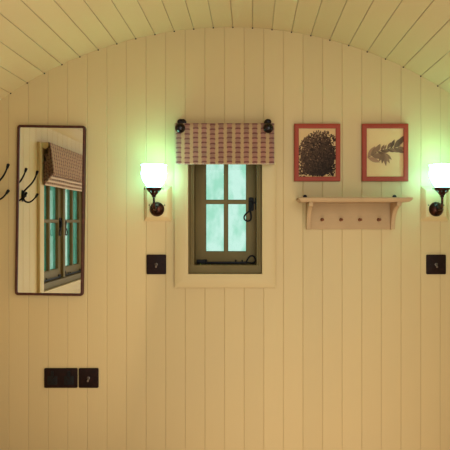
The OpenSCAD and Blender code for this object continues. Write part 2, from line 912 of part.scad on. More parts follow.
// The side outline of a shelf bracket: deep under the shelf, with a hollow quarter ellipse down to its foot
module bracket_outline() {
    depth = shelf_depth - bracket_setback;
    reach = depth - rail_t - bracket_foot;
    drop = peg_rail_h - bracket_nose;
    hollow = [for (i = [bracket_steps : -1 : 0]) let (a = 90 * i / bracket_steps)
        [depth - reach * sin(a), drop * cos(a) - peg_rail_h]];
    polygon(concat([[depth, 0], [rail_t, 0], [rail_t, -peg_rail_h]], hollow));
}

module shelf_brackets() {
    color("antiquewhite") on_end_wall() for (side = [-1, 1])
        translate([shelf_x + side * (peg_rail_w - shelf_t) / 2 - shelf_t / 2, 0, shelf_top - shelf_t])
            rotate([90, 0, 90]) linear_extrude(shelf_t) mirror([1, 0]) bracket_outline();
}

// A picture or mirror frame, w by h outside, centred on the origin
module hanging_frame(w, h, rim, t) {
    translate([0, 0, -h / 2]) ring(w, h, rim, rim, rim, -t, 0);
}

// What a hanging frame holds, as a panel between two depths
module framed_panel(w, h, rim, y0, y1) {
    block([-w / 2 + rim, y0, -h / 2 + rim], [w / 2 - rim, y1, h / 2 - rim]);
}

panel_t = 5;

module hang_mirror() {
    on_end_wall() translate([mirror_x, 0, mirror_z]) rotate([0, mirror_lean, 0]) children();
}

module mirror_frame() {
    color("#5a3524") hang_mirror() hanging_frame(mirror_w, mirror_h, mirror_rim, mirror_t);
}

module mirror_glass() {
    color("lightgray") hang_mirror()
        framed_panel(mirror_w, mirror_h, mirror_rim, -mirror_t + panel_t, -mirror_t + 2 * panel_t);
}

picture_z = shelf_top + picture_up_h;

module at_each_picture() {
    on_end_wall() for (x = [left_picture_x, right_picture_x]) translate([x, 0, picture_z]) children();
}

module picture_frames() {
    color("#8f4535") at_each_picture() hanging_frame(picture_w, picture_h, picture_rim, picture_t);
}

module picture_prints() {
    color("linen") at_each_picture()
        framed_panel(picture_w, picture_h, picture_rim, -picture_t + 2 * panel_t, -picture_t + 3 * panel_t);
}

hook_plate = [20, 4, 70];
hook_tip_h = 119;

// A double hook: a plate, a long upper arm and a short lower one, each with a ball at its tip
module coat_hook() {
    upper_r = hook_reach - hook_plate[1] - hook_ball_r;
    lower_r = upper_r / 2;
    foot_y = past - hook_plate[1];
    union() {
        translate([0, -hook_plate[1] / 2, 0]) cube(hook_plate, center = true);
        translate([0, foot_y, upper_r]) rotate([0, 90, 0]) rotate_extrude(angle = -90, $fn = 64)
            translate([upper_r, 0]) circle(hook_arm_r, $fn = 24);
        translate([0, foot_y - upper_r, upper_r]) {
            cylinder(r = hook_arm_r, h = hook_tip_h - upper_r, $fn = 24);
            translate([0, 0, hook_tip_h - upper_r]) sphere(hook_ball_r, $fn = 32);
        }
        translate([0, foot_y - lower_r, 0]) rotate([0, 90, 0]) rotate([0, 0, -90])
            rotate_extrude(angle = 180, $fn = 64) translate([lower_r, 0]) circle(hook_arm_r, $fn = 24);
        translate([0, foot_y - 2 * lower_r, 0]) sphere(hook_ball_r, $fn = 32);
    }
}

module coat_hooks() {
    color("#1c1a18") on_left_wall() for (i = [0 : hook_count - 1])
        translate([-hook_first_y - i * hook_spacing, 0, hook_z]) coat_hook();
}

chassis_beams();
floor_joists();
floor_boards();
end_wall_frame();
end_wall_lining();
end_wall_cladding();
left_wall_frame();
left_wall_lining();
left_wall_cladding();
right_wall_frame();
right_wall_lining();
right_wall_cladding();
roof_ribs();
ceiling_lining();
roof_sheet();
eaves_boards();
verge_board();
corner_boards();
skirting_board();
end_window_frame();
end_window_sash();
end_window_panes();
side_window_frame();
side_window_sashes();
side_window_panes();
window_architraves();
window_catches();
end_blind();
side_blind();
blind_brackets();
lamp_blocks();
lamp_fittings();
lamp_shades();
lamp_bulbs();
light_switches();
power_sockets();
shelf_board();
peg_rail();
shelf_brackets();
shelf_hangers();
mirror_frame();
mirror_glass();
picture_frames();
picture_prints();
coat_hooks();
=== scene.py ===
# %% [markdown]
# # The end bay of a shepherds hut
#
# A shepherds hut is one small room on a chassis, boarded inside and out, under a barrel roof.
# This notebook dresses the last bay of such a room. The frame holds each part as a plain solid at
# its true size. Here each one gets its boards, mouldings, metalwork, cloth and paint.
# Lengths are in metres, X runs across the hut and +Y points out through the end wall.

# %% Load the frame
import math
import random

import bmesh
import bpy
from mathutils import Matrix, Vector, noise


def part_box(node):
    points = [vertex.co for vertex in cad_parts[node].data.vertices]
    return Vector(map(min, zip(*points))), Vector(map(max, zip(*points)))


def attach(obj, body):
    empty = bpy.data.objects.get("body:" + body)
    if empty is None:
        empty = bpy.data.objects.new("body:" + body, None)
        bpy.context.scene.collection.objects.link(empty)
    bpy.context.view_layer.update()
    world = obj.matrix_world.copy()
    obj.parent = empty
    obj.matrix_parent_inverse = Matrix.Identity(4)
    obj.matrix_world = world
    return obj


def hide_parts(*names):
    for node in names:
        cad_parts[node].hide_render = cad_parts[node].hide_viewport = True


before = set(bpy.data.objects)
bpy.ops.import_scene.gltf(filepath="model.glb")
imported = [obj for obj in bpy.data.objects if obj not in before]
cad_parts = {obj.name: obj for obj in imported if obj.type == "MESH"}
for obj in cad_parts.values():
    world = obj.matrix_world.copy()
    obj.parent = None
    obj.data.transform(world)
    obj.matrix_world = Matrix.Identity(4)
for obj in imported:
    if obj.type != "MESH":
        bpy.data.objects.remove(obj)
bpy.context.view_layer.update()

# %% [markdown]
# ## The view
#
# The room is seen square on, from beyond its open end. A camera that looks straight along Y keeps
# every upright upright, and a small shift frames the wall without turning the camera.

# %% Camera
wall_low, wall_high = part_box("end_wall_lining")
floor_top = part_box("floor_boards")[1].z
view_distance = 2.6
view_height = 1.438
view_x = 0.0966

camera_data = bpy.data.cameras.new("camera")
camera_data.lens = 46.9
camera_data.sensor_width = 36.0
camera_data.shift_x = -0.0595
camera_data.shift_y = -0.0077
camera = bpy.data.objects.new("camera", camera_data)
camera.location = (view_x, wall_low.y - view_distance, floor_top + view_height)
camera.rotation_euler = (math.radians(90), 0, 0)
bpy.context.scene.collection.objects.link(camera)
bpy.context.scene.camera = camera
bpy.context.scene.view_settings.view_transform = "Standard"
print("camera at", [round(c, 3) for c in camera.location])

# %% [markdown]
# ## Paint mixing
#
# A finish is a small sum: a colour, times a tone for each board, darkened in the joints. Written as
# nodes such a sum is hard to read, so one class wraps a node's socket and lets Python's own
# operators add the Math nodes. A second class makes a material and adds any other node.


# %% A field that Python's operators work on
class Field:
    """A number that varies over a surface. Each operator adds a Math node to its finish."""

    def __init__(self, finish, socket):
        self.finish = finish
        self.socket = socket

    def math(self, operation, *others, clamp=False):
        settings = {"operation": operation, "use_clamp": clamp}
        return self.finish.add("ShaderNodeMath", settings, dict(enumerate((self,) + others)))

    def __add__(self, other):
        return self.math("ADD", other)

    def __radd__(self, other):
        return self.math("ADD", other)

    def __sub__(self, other):
        return self.math("SUBTRACT", other)

    def __rsub__(self, other):
        return (self * -1) + other

    def __mul__(self, other):
        return self.math("MULTIPLY", other)

    def __rmul__(self, other):
        return self.math("MULTIPLY", other)

    def __truediv__(self, other):
        return self.math("DIVIDE", other)

    def __rtruediv__(self, other):
        return self.math("POWER", -1) * other

    def __mod__(self, other):
        return self.math("FLOORED_MODULO", other)

    def __pow__(self, other):
        return self.math("POWER", other)

    def __abs__(self):
        return self.math("ABSOLUTE")

    def __lt__(self, other):
        return self.math("LESS_THAN", other)

    def __gt__(self, other):
        return self.math("GREATER_THAN", other)

    def floor(self):
        return self.math("FLOOR")

    def sin(self):
        return self.math("SINE")

    def ease(self, low, high):
        """0 below low, 1 above high and smooth between."""
        ranges = {1: low, 2: high, 3: 0.0, 4: 1.0}
        settings = {"interpolation_type": "SMOOTHSTEP"}
        return self.finish.add("ShaderNodeMapRange", settings, {0: self, **ranges})


# %% A finish, which is one material
class Finish:
    """A material with one Principled shader, and short ways to add nodes to it."""

    def __init__(self, name, roughness=0.5, **constants):
        self.material = bpy.data.materials.new(name)
        self.material.use_nodes = True
        self.nodes = self.material.node_tree.nodes
        self.links = self.material.node_tree.links
        self.shader = self.nodes["Principled BSDF"]
        self.shader.inputs["Roughness"].default_value = roughness
        for socket, value in constants.items():
            self.shader.inputs[socket.replace("_", " ")].default_value = value
        place = self.add("ShaderNodeTexCoord", output="Object")
        self.place = place
        self.x, self.y, self.z = (
            self.add("ShaderNodeSeparateXYZ", {}, {0: place}, axis) for axis in range(3))

    def add(self, kind, settings=None, inputs=None, output=0):
        """Adds a node: its settings first, then the value or link of each socket."""
        node = self.nodes.new(kind)
        for key, value in (settings or {}).items():
            setattr(node, key, value)
        for key, value in (inputs or {}).items():
            if isinstance(value, Field):
                self.links.new(value.socket, node.inputs[key])
            else:
                node.inputs[key].default_value = value
        return Field(self, node.outputs[output])

    def stretch(self, x, y, z):
        """Object coordinates scaled along each axis."""
        return self.add("ShaderNodeVectorMath", {"operation": "MULTIPLY"}, {0: self.place, 1: (x, y, z)})

    def noise(self, vector, detail=3.0, roughness=0.55):
        inputs = {"Vector": vector, "Scale": 1.0, "Detail": detail, "Roughness": roughness}
        return self.add("ShaderNodeTexNoise", {}, inputs)

    def cloud(self, scale, detail=3.0):
        """Noise with one scale along every axis."""
        return self.noise(self.stretch(scale, scale, scale), detail)

    def streaks(self, along, across_scale=900.0, along_scale=9.0, detail=2.0, roughness=0.55):
        """Noise with a scale of its own along one axis: brush marks, grain, drawn glass."""
        scale = [across_scale] * 3
        scale[along] = along_scale
        return self.noise(self.stretch(*scale), detail, roughness)

    def number(self, seed):
        """A random number from 0 to 1 for each whole number in the field."""
        return self.add("ShaderNodeTexWhiteNoise", {"noise_dimensions": "1D"}, {"W": seed})

    def mix(self, share, first, second):
        colours = {6: rgba(first), 7: rgba(second)}
        return self.add("ShaderNodeMix", {"data_type": "RGBA"}, {0: share, **colours}, 2)

    def dim(self, colour, share):
        """A colour made darker or lighter by a number."""
        inputs = {0: vector_of(colour), "Scale": share}
        return self.add("ShaderNodeVectorMath", {"operation": "SCALE"}, inputs)

    def set(self, socket, value):
        if isinstance(value, Field):
            self.links.new(value.socket, self.shader.inputs[socket])
        elif isinstance(value, tuple):
            self.shader.inputs[socket].default_value = rgba(value)
        else:
            self.shader.inputs[socket].default_value = value

    def bump(self, height, depth):
        """Raises the surface by depth metres where height is 1."""
        inputs = {"Height": height, "Distance": depth, "Strength": 1.0}
        self.set("Normal", self.add("ShaderNodeBump", {}, inputs))

    def coat(self, colour, roughness, height, depth):
        """Sets what nearly every finish varies: its colour, its roughness and its relief."""
        self.set("Base Color", colour)
        self.set("Roughness", roughness)
        self.bump(height, depth)


def rgba(colour):
    return colour if isinstance(colour, Field) else (*colour, 1.0)


def vector_of(colour):
    return colour if isinstance(colour, Field) else colour[:3]


def paint(red, green, blue):
    """A colour from a paint card, 0 to 255, as the light that it sends back."""
    return tuple(
        ((c / 255 + 0.055) / 1.055) ** 2.4 if c > 10 else c / 255 / 12.92 for c in (red, green, blue))


# %% [markdown]
# ## Light, floor and background
#
# The bay stands on a plain pale floor under soft studio light. The open end faces the camera, so
# two soft lights stand in front of it and light the room as its own door would. Two weak, warm
# ones inside stand for the light that the floor and the walls of a whole room send back.
# The world shows white to the camera, through glass and in mirrors, and lights softly otherwise.

# %% World
seen_rays = ("Is Camera Ray", "Is Glossy Ray", "Is Transmission Ray")
world = bpy.data.worlds.new("studio")
bpy.context.scene.world = world
world.use_nodes = True
world_nodes = world.node_tree.nodes
world_links = world.node_tree.links
background = world_nodes["Background"]
background.inputs["Color"].default_value = (1.0, 1.0, 1.0, 1.0)
ray = world_nodes.new("ShaderNodeLightPath")
seen = ray.outputs[seen_rays[0]]
for ray_name in seen_rays[1:]:
    either = world_nodes.new("ShaderNodeMath")
    either.operation = "MAXIMUM"
    world_links.new(seen, either.inputs[0])
    world_links.new(ray.outputs[ray_name], either.inputs[1])
    seen = either.outputs[0]
level = world_nodes.new("ShaderNodeMapRange")
world_light = 0.5
level.inputs["To Min"].default_value = world_light
level.inputs["To Max"].default_value = 1.0
world_links.new(seen, level.inputs["Value"])
world_links.new(level.outputs[0], background.inputs["Strength"])
print("world light", world_light)


# %% Lamps of the studio
def soft_light(name, place, target, width, height, watts, colour=(1.0, 1.0, 1.0), mirrored=True):
    """An area light that faces a target and that the camera doesn't see."""
    data = bpy.data.lights.new(name, "AREA")
    data.shape = "RECTANGLE"
    data.size, data.size_y = width, height
    data.energy = watts
    data.color = colour
    light = bpy.data.objects.new(name, data)
    light.location = place
    light.rotation_euler = (Vector(target) - Vector(place)).to_track_quat("-Z", "Y").to_euler()
    light.visible_camera = False
    light.visible_transmission = False
    light.visible_glossy = mirrored
    bpy.context.scene.collection.objects.link(light)


hut_middle = (0, 0, 1.2)
soft_light("front", (0.85, -1.4, 2.1), (0.1, wall_low.y, 1.9), 1.3, 0.9, 14, (0.92, 1.0, 0.98))
soft_light("bounce", (0.45, -1.5, 1.0), (0.30, 0.3, 2.6), 1.2, 0.8, 12, (0.90, 0.93, 0.76))
soft_light("low", (0.35, -0.15, 0.32), (0.35, -0.149, 2.6), 1.2, 1.1, 11, (1.0, 0.84, 0.67), False)
soft_light("return", (-0.1, 0.42, 1.3), (-1.04, -0.3, 1.5), 0.4, 1.2, 4, (1.0, 0.87, 0.70), False)
soft_light("left", (-4.5, -0.5, 3.6), hut_middle, 3.0, 3.0, 120)
soft_light("right", (4.2, 2.6, 4.0), hut_middle, 3.0, 3.0, 105)
soft_light("back", (-1.8, 5.0, 2.6), hut_middle, 3.0, 2.6, 80)
print("lamps:", len(bpy.data.lights))


# %% Pale floor
fade_start, fade_end = 1.6, 5.5


def pale_floor():
    """A wide floor that fades to the white of the background a few metres out."""
    mesh = bpy.data.meshes.new("studio_floor")
    bm = bmesh.new()
    bmesh.ops.create_grid(bm, x_segments=1, y_segments=1, size=30)
    bm.to_mesh(mesh)
    bm.free()
    floor = bpy.data.objects.new("studio_floor", mesh)
    bpy.context.scene.collection.objects.link(floor)
    finish = Finish("studio_floor", roughness=0.9)
    finish.set("Base Color", paint(238, 238, 236))
    seen = [finish.add("ShaderNodeLightPath", output=name) for name in seen_rays]
    any_seen = seen[0].math("MAXIMUM", seen[1]).math("MAXIMUM", seen[2])
    distance = (finish.x * finish.x + finish.y * finish.y) ** 0.5
    white = finish.add("ShaderNodeEmission", {}, {"Strength": 1.0})
    near = Field(finish, finish.shader.outputs[0])
    far = distance.ease(fade_start, fade_end) * any_seen
    mixed = finish.add("ShaderNodeMixShader", {}, {0: far, 1: near, 2: white})
    finish.links.new(mixed.socket, finish.nodes["Material Output"].inputs["Surface"])
    mesh.materials.append(finish.material)


pale_floor()

# %% [markdown]
# ## Tools of the bench
#
# Each piece starts as a bmesh: a copy of its CAD solid, a block, a turned profile or a bent rod.
# Operators then cut, bevel and repeat it. The last step moves it into place and gives it smooth
# shading, a finish in its material slot and its body, and hides the CAD nodes that it stands for.


# %% Blocks, copies and cuts
def block(bm, low, high):
    """Adds a box from its low corner to its high corner."""
    low, high = Vector(low), Vector(high)
    place = Matrix.Translation((low + high) / 2) @ Matrix.Diagonal((*(high - low), 1.0))
    bmesh.ops.create_cube(bm, size=1.0, matrix=place)


def triangles_of(node):
    """The loose triangles of a CAD node as a bmesh, with their corners merged."""
    bm = bmesh.new()
    bm.from_mesh(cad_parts[node].data)
    bmesh.ops.remove_doubles(bm, verts=bm.verts, dist=0.00002)
    return bm


def copy_of(node, flat_angle=1.0):
    """A CAD node as a bmesh, with its triangles joined into whole faces."""
    bm = triangles_of(node)
    angle = math.radians(flat_angle)
    bmesh.ops.dissolve_limit(bm, angle_limit=angle, verts=bm.verts, edges=bm.edges)
    return bm


def cut(bm, point, normal, drop_beyond=False):
    """Cuts every face with a plane, and may drop what lies beyond it."""
    everything = bm.verts[:] + bm.edges[:] + bm.faces[:]
    bmesh.ops.bisect_plane(
        bm, geom=everything, dist=0.000001, plane_co=point, plane_no=normal, clear_outer=drop_beyond)


def bevel(bm, geom, width, segments, profile=0.5, affect="EDGES", clamp=False):
    """Blender's bevel. Its defaults differ from the editor's, so all that matters is given."""
    return bmesh.ops.bevel(
        bm, geom=geom, offset=width, offset_type="OFFSET", affect=affect, segments=segments,
        profile=profile, material=-1, clamp_overlap=clamp)["faces"]


def soften(bm, width, segments=2, sharper_than=30.0, edges=None):
    """Rounds the sharp edges of a bmesh, or the edges that are given."""
    if edges is None:
        limit = math.radians(sharper_than)
        edges = [e for e in bm.edges if e.is_manifold and e.calc_face_angle(0.0) > limit]
    bevel(bm, edges, width, segments, clamp=True)


def edges_along(bm, axis):
    """The edges of a block that run along an axis: 0, 1 or 2."""
    return [e for e in bm.edges if abs(e.verts[0].co[axis] - e.verts[1].co[axis]) > 0.0001]


def loose_parts(bm):
    """The separate solids of a bmesh, each as a list of its vertices."""
    left = set(bm.verts)
    parts = []
    while left:
        waiting = [left.pop()]
        part = []
        while waiting:
            vert = waiting.pop()
            part.append(vert)
            near = [edge.other_vert(vert) for edge in vert.link_edges]
            fresh = [other for other in near if other in left]
            left.difference_update(fresh)
            waiting.extend(fresh)
        parts.append(part)
    return parts


def box_of(verts):
    low = Vector(min(v.co[i] for v in verts) for i in range(3))
    high = Vector(max(v.co[i] for v in verts) for i in range(3))
    return low, high


def solids_of(node, along=0):
    """The low and high corners of each solid of a CAD node, in order along an axis."""
    bm = triangles_of(node)
    boxes = sorted((box_of(part) for part in loose_parts(bm)), key=lambda box: box[0][along])
    bm.free()
    return boxes


def join(bm, part, place=None):
    """Moves a finished part into place and adds it to a bigger bmesh."""
    if place is not None:
        bmesh.ops.transform(part, matrix=place, verts=part.verts)
    mesh = bpy.data.meshes.new("part")
    part.to_mesh(mesh)
    part.free()
    bm.from_mesh(mesh)
    bpy.data.meshes.remove(mesh)


# %% Turned and bent shapes
upwards = (0, 0, 1)
to_room = (0, -1, 0)


def turned(bm, profile, centre, axis, steps=32):
    """Spins a profile of (radius, distance along the axis) about an axis through a centre."""
    axis = Vector(axis).normalized()
    side = axis.orthogonal().normalized()
    centre = Vector(centre)
    verts = [bm.verts.new(centre + axis * along + side * radius) for radius, along in profile]
    edges = [bm.edges.new(pair) for pair in zip(verts, verts[1:])]
    bmesh.ops.spin(
        bm, geom=verts + edges, cent=centre, axis=axis, angle=math.tau, steps=steps, use_merge=True)
    bmesh.ops.remove_doubles(bm, verts=bm.verts, dist=0.00001)


def rod(bm, points, radius, closed=False, smooth=True, sides=2):
    """Adds a round bar along points. A radius may be given for each point."""
    curve = bpy.data.curves.new("rod", "CURVE")
    curve.dimensions = "3D"
    curve.bevel_depth = 1.0
    curve.bevel_resolution = sides
    curve.use_fill_caps = not closed
    spline = curve.splines.new("NURBS" if smooth else "POLY")
    spline.points.add(len(points) - 1)
    radii = radius if isinstance(radius, (list, tuple)) else [radius] * len(points)
    for spot, place, size in zip(spline.points, points, radii):
        spot.co = (*place, 1.0)
        spot.radius = size
    spline.use_cyclic_u = closed
    if smooth:
        spline.order_u = min(4, len(points))
        spline.use_endpoint_u = not closed
        spline.resolution_u = 4
    holder = bpy.data.objects.new("rod", curve)
    mesh = bpy.data.meshes.new_from_object(holder)
    bm.from_mesh(mesh)
    bpy.data.objects.remove(holder)
    bpy.data.curves.remove(curve)
    bpy.data.meshes.remove(mesh)


# %% The last step of every piece
def put(name, bm, finish, replaces=(), crease=35.0, flip=True, place=None):
    """Moves a bmesh into place and makes it a finished piece of the hut."""
    if place is not None:
        bmesh.ops.transform(bm, matrix=place, verts=bm.verts)
    if flip:
        bmesh.ops.remove_doubles(bm, verts=bm.verts, dist=0.000001)
        bmesh.ops.recalc_face_normals(bm, faces=bm.faces)
    mesh = bpy.data.meshes.new(name)
    bm.to_mesh(mesh)
    bm.free()
    mesh.materials.append(finish.material)
    mesh.shade_smooth()
    mesh.set_sharp_from_angle(angle=math.radians(crease))
    piece = bpy.data.objects.new(name, mesh)
    bpy.context.scene.collection.objects.link(piece)
    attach(piece, "root")
    if replaces:
        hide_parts(*replaces)
    print(name, "faces:", len(mesh.polygons))
    return piece


def refinish(node, finish):
    """Gives a CAD node that keeps its own shape a better material."""
    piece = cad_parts[node]
    piece.data.materials.clear()
    piece.data.materials.append(finish.material)
    print(node, "keeps its shape")


# %% [markdown]
# ## Painted boards
#
# The walls and the ceiling are lined with tongue and groove boards that show a V joint every
# 87 mm. Cream eggshell paint covers them. Brushed paint is never one colour: each board takes it
# a little differently, the brush leaves fine lines along the board, and the joints hold shadow.
# The finish works all of that out from the position across and along the boards.

# %% Board sizes
board_pitch = 0.087
joint_w = 0.0045
joint_d = 0.0016
joint_shade = 0.12
first_joint_x = -0.0245


def board_pattern(finish, across, first, pitch):
    """The tone of each board, and how deep a point lies in a joint."""
    place = (across - first) / pitch
    tone = finish.number(place.floor())
    from_joint = abs((place + 0.5) % 1.0 - 0.5) * pitch
    in_joint = 1 - from_joint.ease(joint_w * 0.25, joint_w * 0.62)
    return tone, in_joint


def board_paint(name, colour, across, along, first, pitch, spread=0.05):
    """Brushed paint on boards. Across and along are axes: 0, 1 or 2."""
    finish = Finish(name, roughness=0.42, Specular_IOR_Level=0.25)
    position = (finish.x, finish.y, finish.z)[across]
    tone, in_joint = board_pattern(finish, position, first, pitch)
    marks = finish.streaks(along)
    cloud = finish.cloud(2.2, 2.0)
    light = 1 + (tone - 0.5) * spread + (cloud - 0.5) * 0.08 + (marks - 0.5) * 0.05
    aged = tuple(c * share for c, share in zip(colour, (1.0, 0.965, 0.87)))
    yellowed = finish.mix((cloud - 0.35) * 0.8, colour, aged)
    shaded = finish.dim(yellowed, light * (1 - in_joint * joint_shade))
    finish.coat(shaded, 0.36 + marks * 0.16 + in_joint * 0.2, marks + cloud * 0.4, 0.0004)
    return finish


lining_colour = paint(194, 168, 119)
end_lining_paint = board_paint("end_lining_paint", lining_colour, 0, 2, first_joint_x, board_pitch)
side_lining_paint = board_paint("side_lining_paint", lining_colour, 1, 2, wall_low.y, board_pitch)
print("lining paint ready")

# %% [markdown]
# ## The end wall's lining
#
# The wall is one arch with a window hole, so it starts as one flat face: a round disc cut off at
# the floor and at both sides. Planes cut it at each joint and the middle line of each joint is
# pushed back, which makes a true V groove. An extrusion then gives the boards their thickness.

# %% The barrel's circle
# Ribs and ceiling share one centre. A circle's radius follows from a chord and its rise.
ceiling_low, ceiling_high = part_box("ceiling_lining")
half_room = ceiling_high.x
ceiling_t = 0.012
crown = ceiling_high.z - ceiling_t
rise = crown - ceiling_low.z
ceiling_r = (half_room ** 2 + rise ** 2) / (2 * rise)
curve_z = crown - ceiling_r
open_y = ceiling_low.y
face_y = wall_low.y
stud_y = wall_high.y
print("ceiling radius", round(ceiling_r, 4), "centre height", round(curve_z, 4))


# %% Wall faces with V joints
def window_cut(bm, low, high, across):
    """Cuts a rectangular hole in a flat wall face, for the frame between two corners."""
    for axis in (across, 2):
        normal = Vector((0, 0, 0))
        normal[axis] = 1
        cut(bm, low, normal)
        cut(bm, high, normal)
    middle = [
        f for f in bm.faces
        if all(low[a] < f.calc_center_median()[a] < high[a] for a in (across, 2))]
    bmesh.ops.delete(bm, geom=middle, context="FACES")


def groove(bm, across, deep, first, pitch, low, high, depth):
    """Cuts a V joint into a flat wall face at every board's edge. Depth is signed along deep."""
    normal = Vector((0, 0, 0))
    normal[across] = 1
    step = math.ceil((low - first) / pitch)
    joints = []
    while first + step * pitch < high:
        joints.append(first + step * pitch)
        step += 1
    for joint in joints:
        for offset in (-joint_w / 2, 0, joint_w / 2):
            cut(bm, normal * (joint + offset), normal)
    near = 0.00001
    for vert in bm.verts:
        if any(abs(vert.co[across] - joint) < near for joint in joints):
            vert.co[deep] += depth
    return len(joints)


def thicken(bm, deep, back):
    """Gives a wall face its thickness, with a flat back."""
    made = bmesh.ops.extrude_face_region(bm, geom=bm.faces[:], use_keep_orig=True)
    for part in made["geom"]:
        if isinstance(part, bmesh.types.BMVert):
            part.co[deep] = back


def arch_face(y, radius, half_width, bottom):
    """A flat arch, facing the open end: a disc cut off at the floor and at both sides."""
    bm = bmesh.new()
    upright = Matrix.Translation((0, y, curve_z)) @ Matrix.Rotation(math.radians(90), 4, "X")
    bmesh.ops.create_circle(bm, cap_ends=True, radius=radius, segments=288, matrix=upright)
    cut(bm, (0, 0, bottom), (0, 0, -1), drop_beyond=True)
    for side in (-1, 1):
        cut(bm, (side * half_width, 0, 0), (side, 0, 0), drop_beyond=True)
    return bm


# %% End wall lining
def end_lining():
    bm = arch_face(face_y, ceiling_r, half_room, wall_low.z)
    window_cut(bm, *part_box("end_window_frame"), 0)
    joints = groove(bm, 0, 1, first_joint_x, board_pitch, -half_room, half_room, joint_d)
    thicken(bm, 1, stud_y)
    put("end_wall_boards", bm, end_lining_paint, ["end_wall_lining"])
    print("joints on the end wall:", joints)


end_lining()


# %% Side wall linings
def upright_face(x, y0, y1, z0, z1):
    """A flat upright face across X."""
    bm = bmesh.new()
    corners = [(x, y0, z0), (x, y1, z0), (x, y1, z1), (x, y0, z1)]
    bm.faces.new([bm.verts.new(corner) for corner in corners])
    return bm


def under_ribs(x):
    """The height of the underside of the roof ribs at a distance from the middle."""
    rib_r = ceiling_r + ceiling_t
    return curve_z + math.sqrt(rib_r ** 2 - x ** 2)


def side_wall_boards(node, name, finish, facing, first, pitch, first_gap=0.0):
    """Boards up to the ribs, with joints on the face towards the room (facing 1) or outside (-1)."""
    low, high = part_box(node)
    side = math.copysign(1, low.x)
    face, back = (high.x, low.x) if side * facing < 0 else (low.x, high.x)
    bm = upright_face(face, low.y, high.y, low.z, under_ribs(max(abs(face), abs(back))))
    if side < 0:
        window_cut(bm, *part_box("side_window_frame"), 1)
    groove(bm, 1, 0, first, pitch, low.y + first_gap, high.y - joint_w, side * facing * joint_d)
    thicken(bm, 0, back)
    put(name, bm, finish, [node])


for wall in ("left_wall", "right_wall"):
    side_wall_boards(
        wall + "_lining", wall + "_boards", side_lining_paint, 1, face_y, board_pitch)

# %% [markdown]
# ## The ceiling
#
# The same boards run lengthwise over the room. Each one is flat, so the barrel is really a set of
# narrow facets, and light catches each facet a little differently. One bevelled board is made and
# spun round the barrel's axis. The boards run on over the end wall's lining, so each joint ends
# in a small hole above the wall, and a dark disc in each hole is painted shadow.

# %% Ceiling boards
ceiling_gap = 0.0006
first_ceiling_joint = 0.0129
joint_shadow_r = 0.0036
ceiling_joint_shade = 0.22


def flecked(name, scale, first, second, depth=0.0, **constants):
    """A plain finish with fine flecks of a second colour, raised by depth metres."""
    finish = Finish(name, **constants)
    flecks = finish.cloud(scale)
    finish.set("Base Color", finish.mix(flecks, first, second))
    if depth:
        finish.bump(flecks, depth)
    return finish


joint_shadow = flecked(
    "joint_shadow", 400.0, paint(20, 14, 10), paint(44, 30, 20), roughness=0.9, Specular_IOR_Level=0.0)


def ceiling_boards():
    step = board_pitch / ceiling_r
    half_angle = math.asin(half_room / ceiling_r)
    reach = math.ceil(half_angle / step) + 1
    bm = bmesh.new()
    half = board_pitch / 2 - ceiling_gap / 2
    top = curve_z + ceiling_r
    block(bm, (-half, open_y, top), (half, stud_y, top + ceiling_t))
    low_edges = [e for e in edges_along(bm, 1) if all(v.co.z < top + 0.001 for v in e.verts)]
    bevel(bm, low_edges, joint_w * 0.4, 1)
    shift = (first_ceiling_joint + board_pitch / 2) / ceiling_r - reach * step
    axis = Matrix.Translation((0, 0, curve_z))
    turn = axis @ Matrix.Rotation(shift, 4, "Y") @ axis.inverted()
    bmesh.ops.transform(bm, matrix=turn, verts=bm.verts)
    bmesh.ops.spin(
        bm, geom=bm.verts[:] + bm.edges[:] + bm.faces[:], cent=(0, 0, curve_z), axis=(0, 1, 0),
        angle=2 * reach * step, steps=2 * reach, use_duplicate=True)
    for side in (-1, 1):
        cut(bm, (side * half_room, 0, 0), (side, 0, 0), drop_beyond=True)
    holes = [e for e in bm.edges if e.is_boundary]
    bmesh.ops.holes_fill(bm, edges=holes, sides=0)
    put("ceiling_boards", bm, ceiling_paint(), ["ceiling_lining"])
    # Dark discs in the holes where the ceiling joints end above the wall: painted shadow.
    ends = bmesh.new()
    hole = [(joint_shadow_r, 0.002), (joint_shadow_r, -0.0006), (0, -0.0006)]
    for number in range(-reach, reach + 1):
        angle = first_ceiling_joint / ceiling_r + number * step
        if abs(angle) < half_angle - 0.004:
            r = ceiling_r - 0.001
            spot = (r * math.sin(angle), face_y, curve_z + r * math.cos(angle))
            turned(ends, hole, spot, (0, 1, 0), 12)
    put("joint_end_shadows", ends, joint_shadow)


def ceiling_paint():
    """Brushed paint whose boards are counted round the barrel."""
    finish = Finish("ceiling_paint", roughness=0.42, Specular_IOR_Level=0.25)
    turn = finish.x.math("ARCTAN2", finish.z - curve_z)
    tone, in_joint = board_pattern(finish, turn * ceiling_r, first_ceiling_joint, board_pitch)
    marks = finish.streaks(1)
    cloud = finish.cloud(2.0, 2.0)
    light = 1 + (tone - 0.5) * 0.06 + (cloud - 0.5) * 0.06 + (marks - 0.5) * 0.05
    shaded = finish.dim(lining_colour, light * (1 - in_joint * ceiling_joint_shade))
    finish.coat(shaded, 0.36 + marks * 0.16, marks + cloud * 0.4, 0.0004)
    return finish


ceiling_boards()

# %% [markdown]
# ## Timber
#
# Bare and stained wood shows long grain lines. Noise that is squeezed across the grain and drawn
# out along it gives them, and a second, wider noise parts the darker from the paler wood.


# %% Timber finishes
def timber(name, pale, dark, along, roughness=0.6, fine=160.0, depth=0.0006, gleam=0.5):
    """Wood whose grain runs along an axis: 0, 1 or 2."""
    finish = Finish(name, roughness=roughness, Specular_IOR_Level=gleam)
    grain = finish.streaks(along, fine, fine / 30, 4.0, 0.6)
    figure = finish.streaks(along, 14.0, 1.2)
    share = (grain * 0.65 + figure * 0.55 - 0.1).math("MULTIPLY", 1.0, clamp=True)
    finish.coat(finish.mix(share, dark, pale), roughness + (grain - 0.5) * 0.25, grain, depth)
    return finish


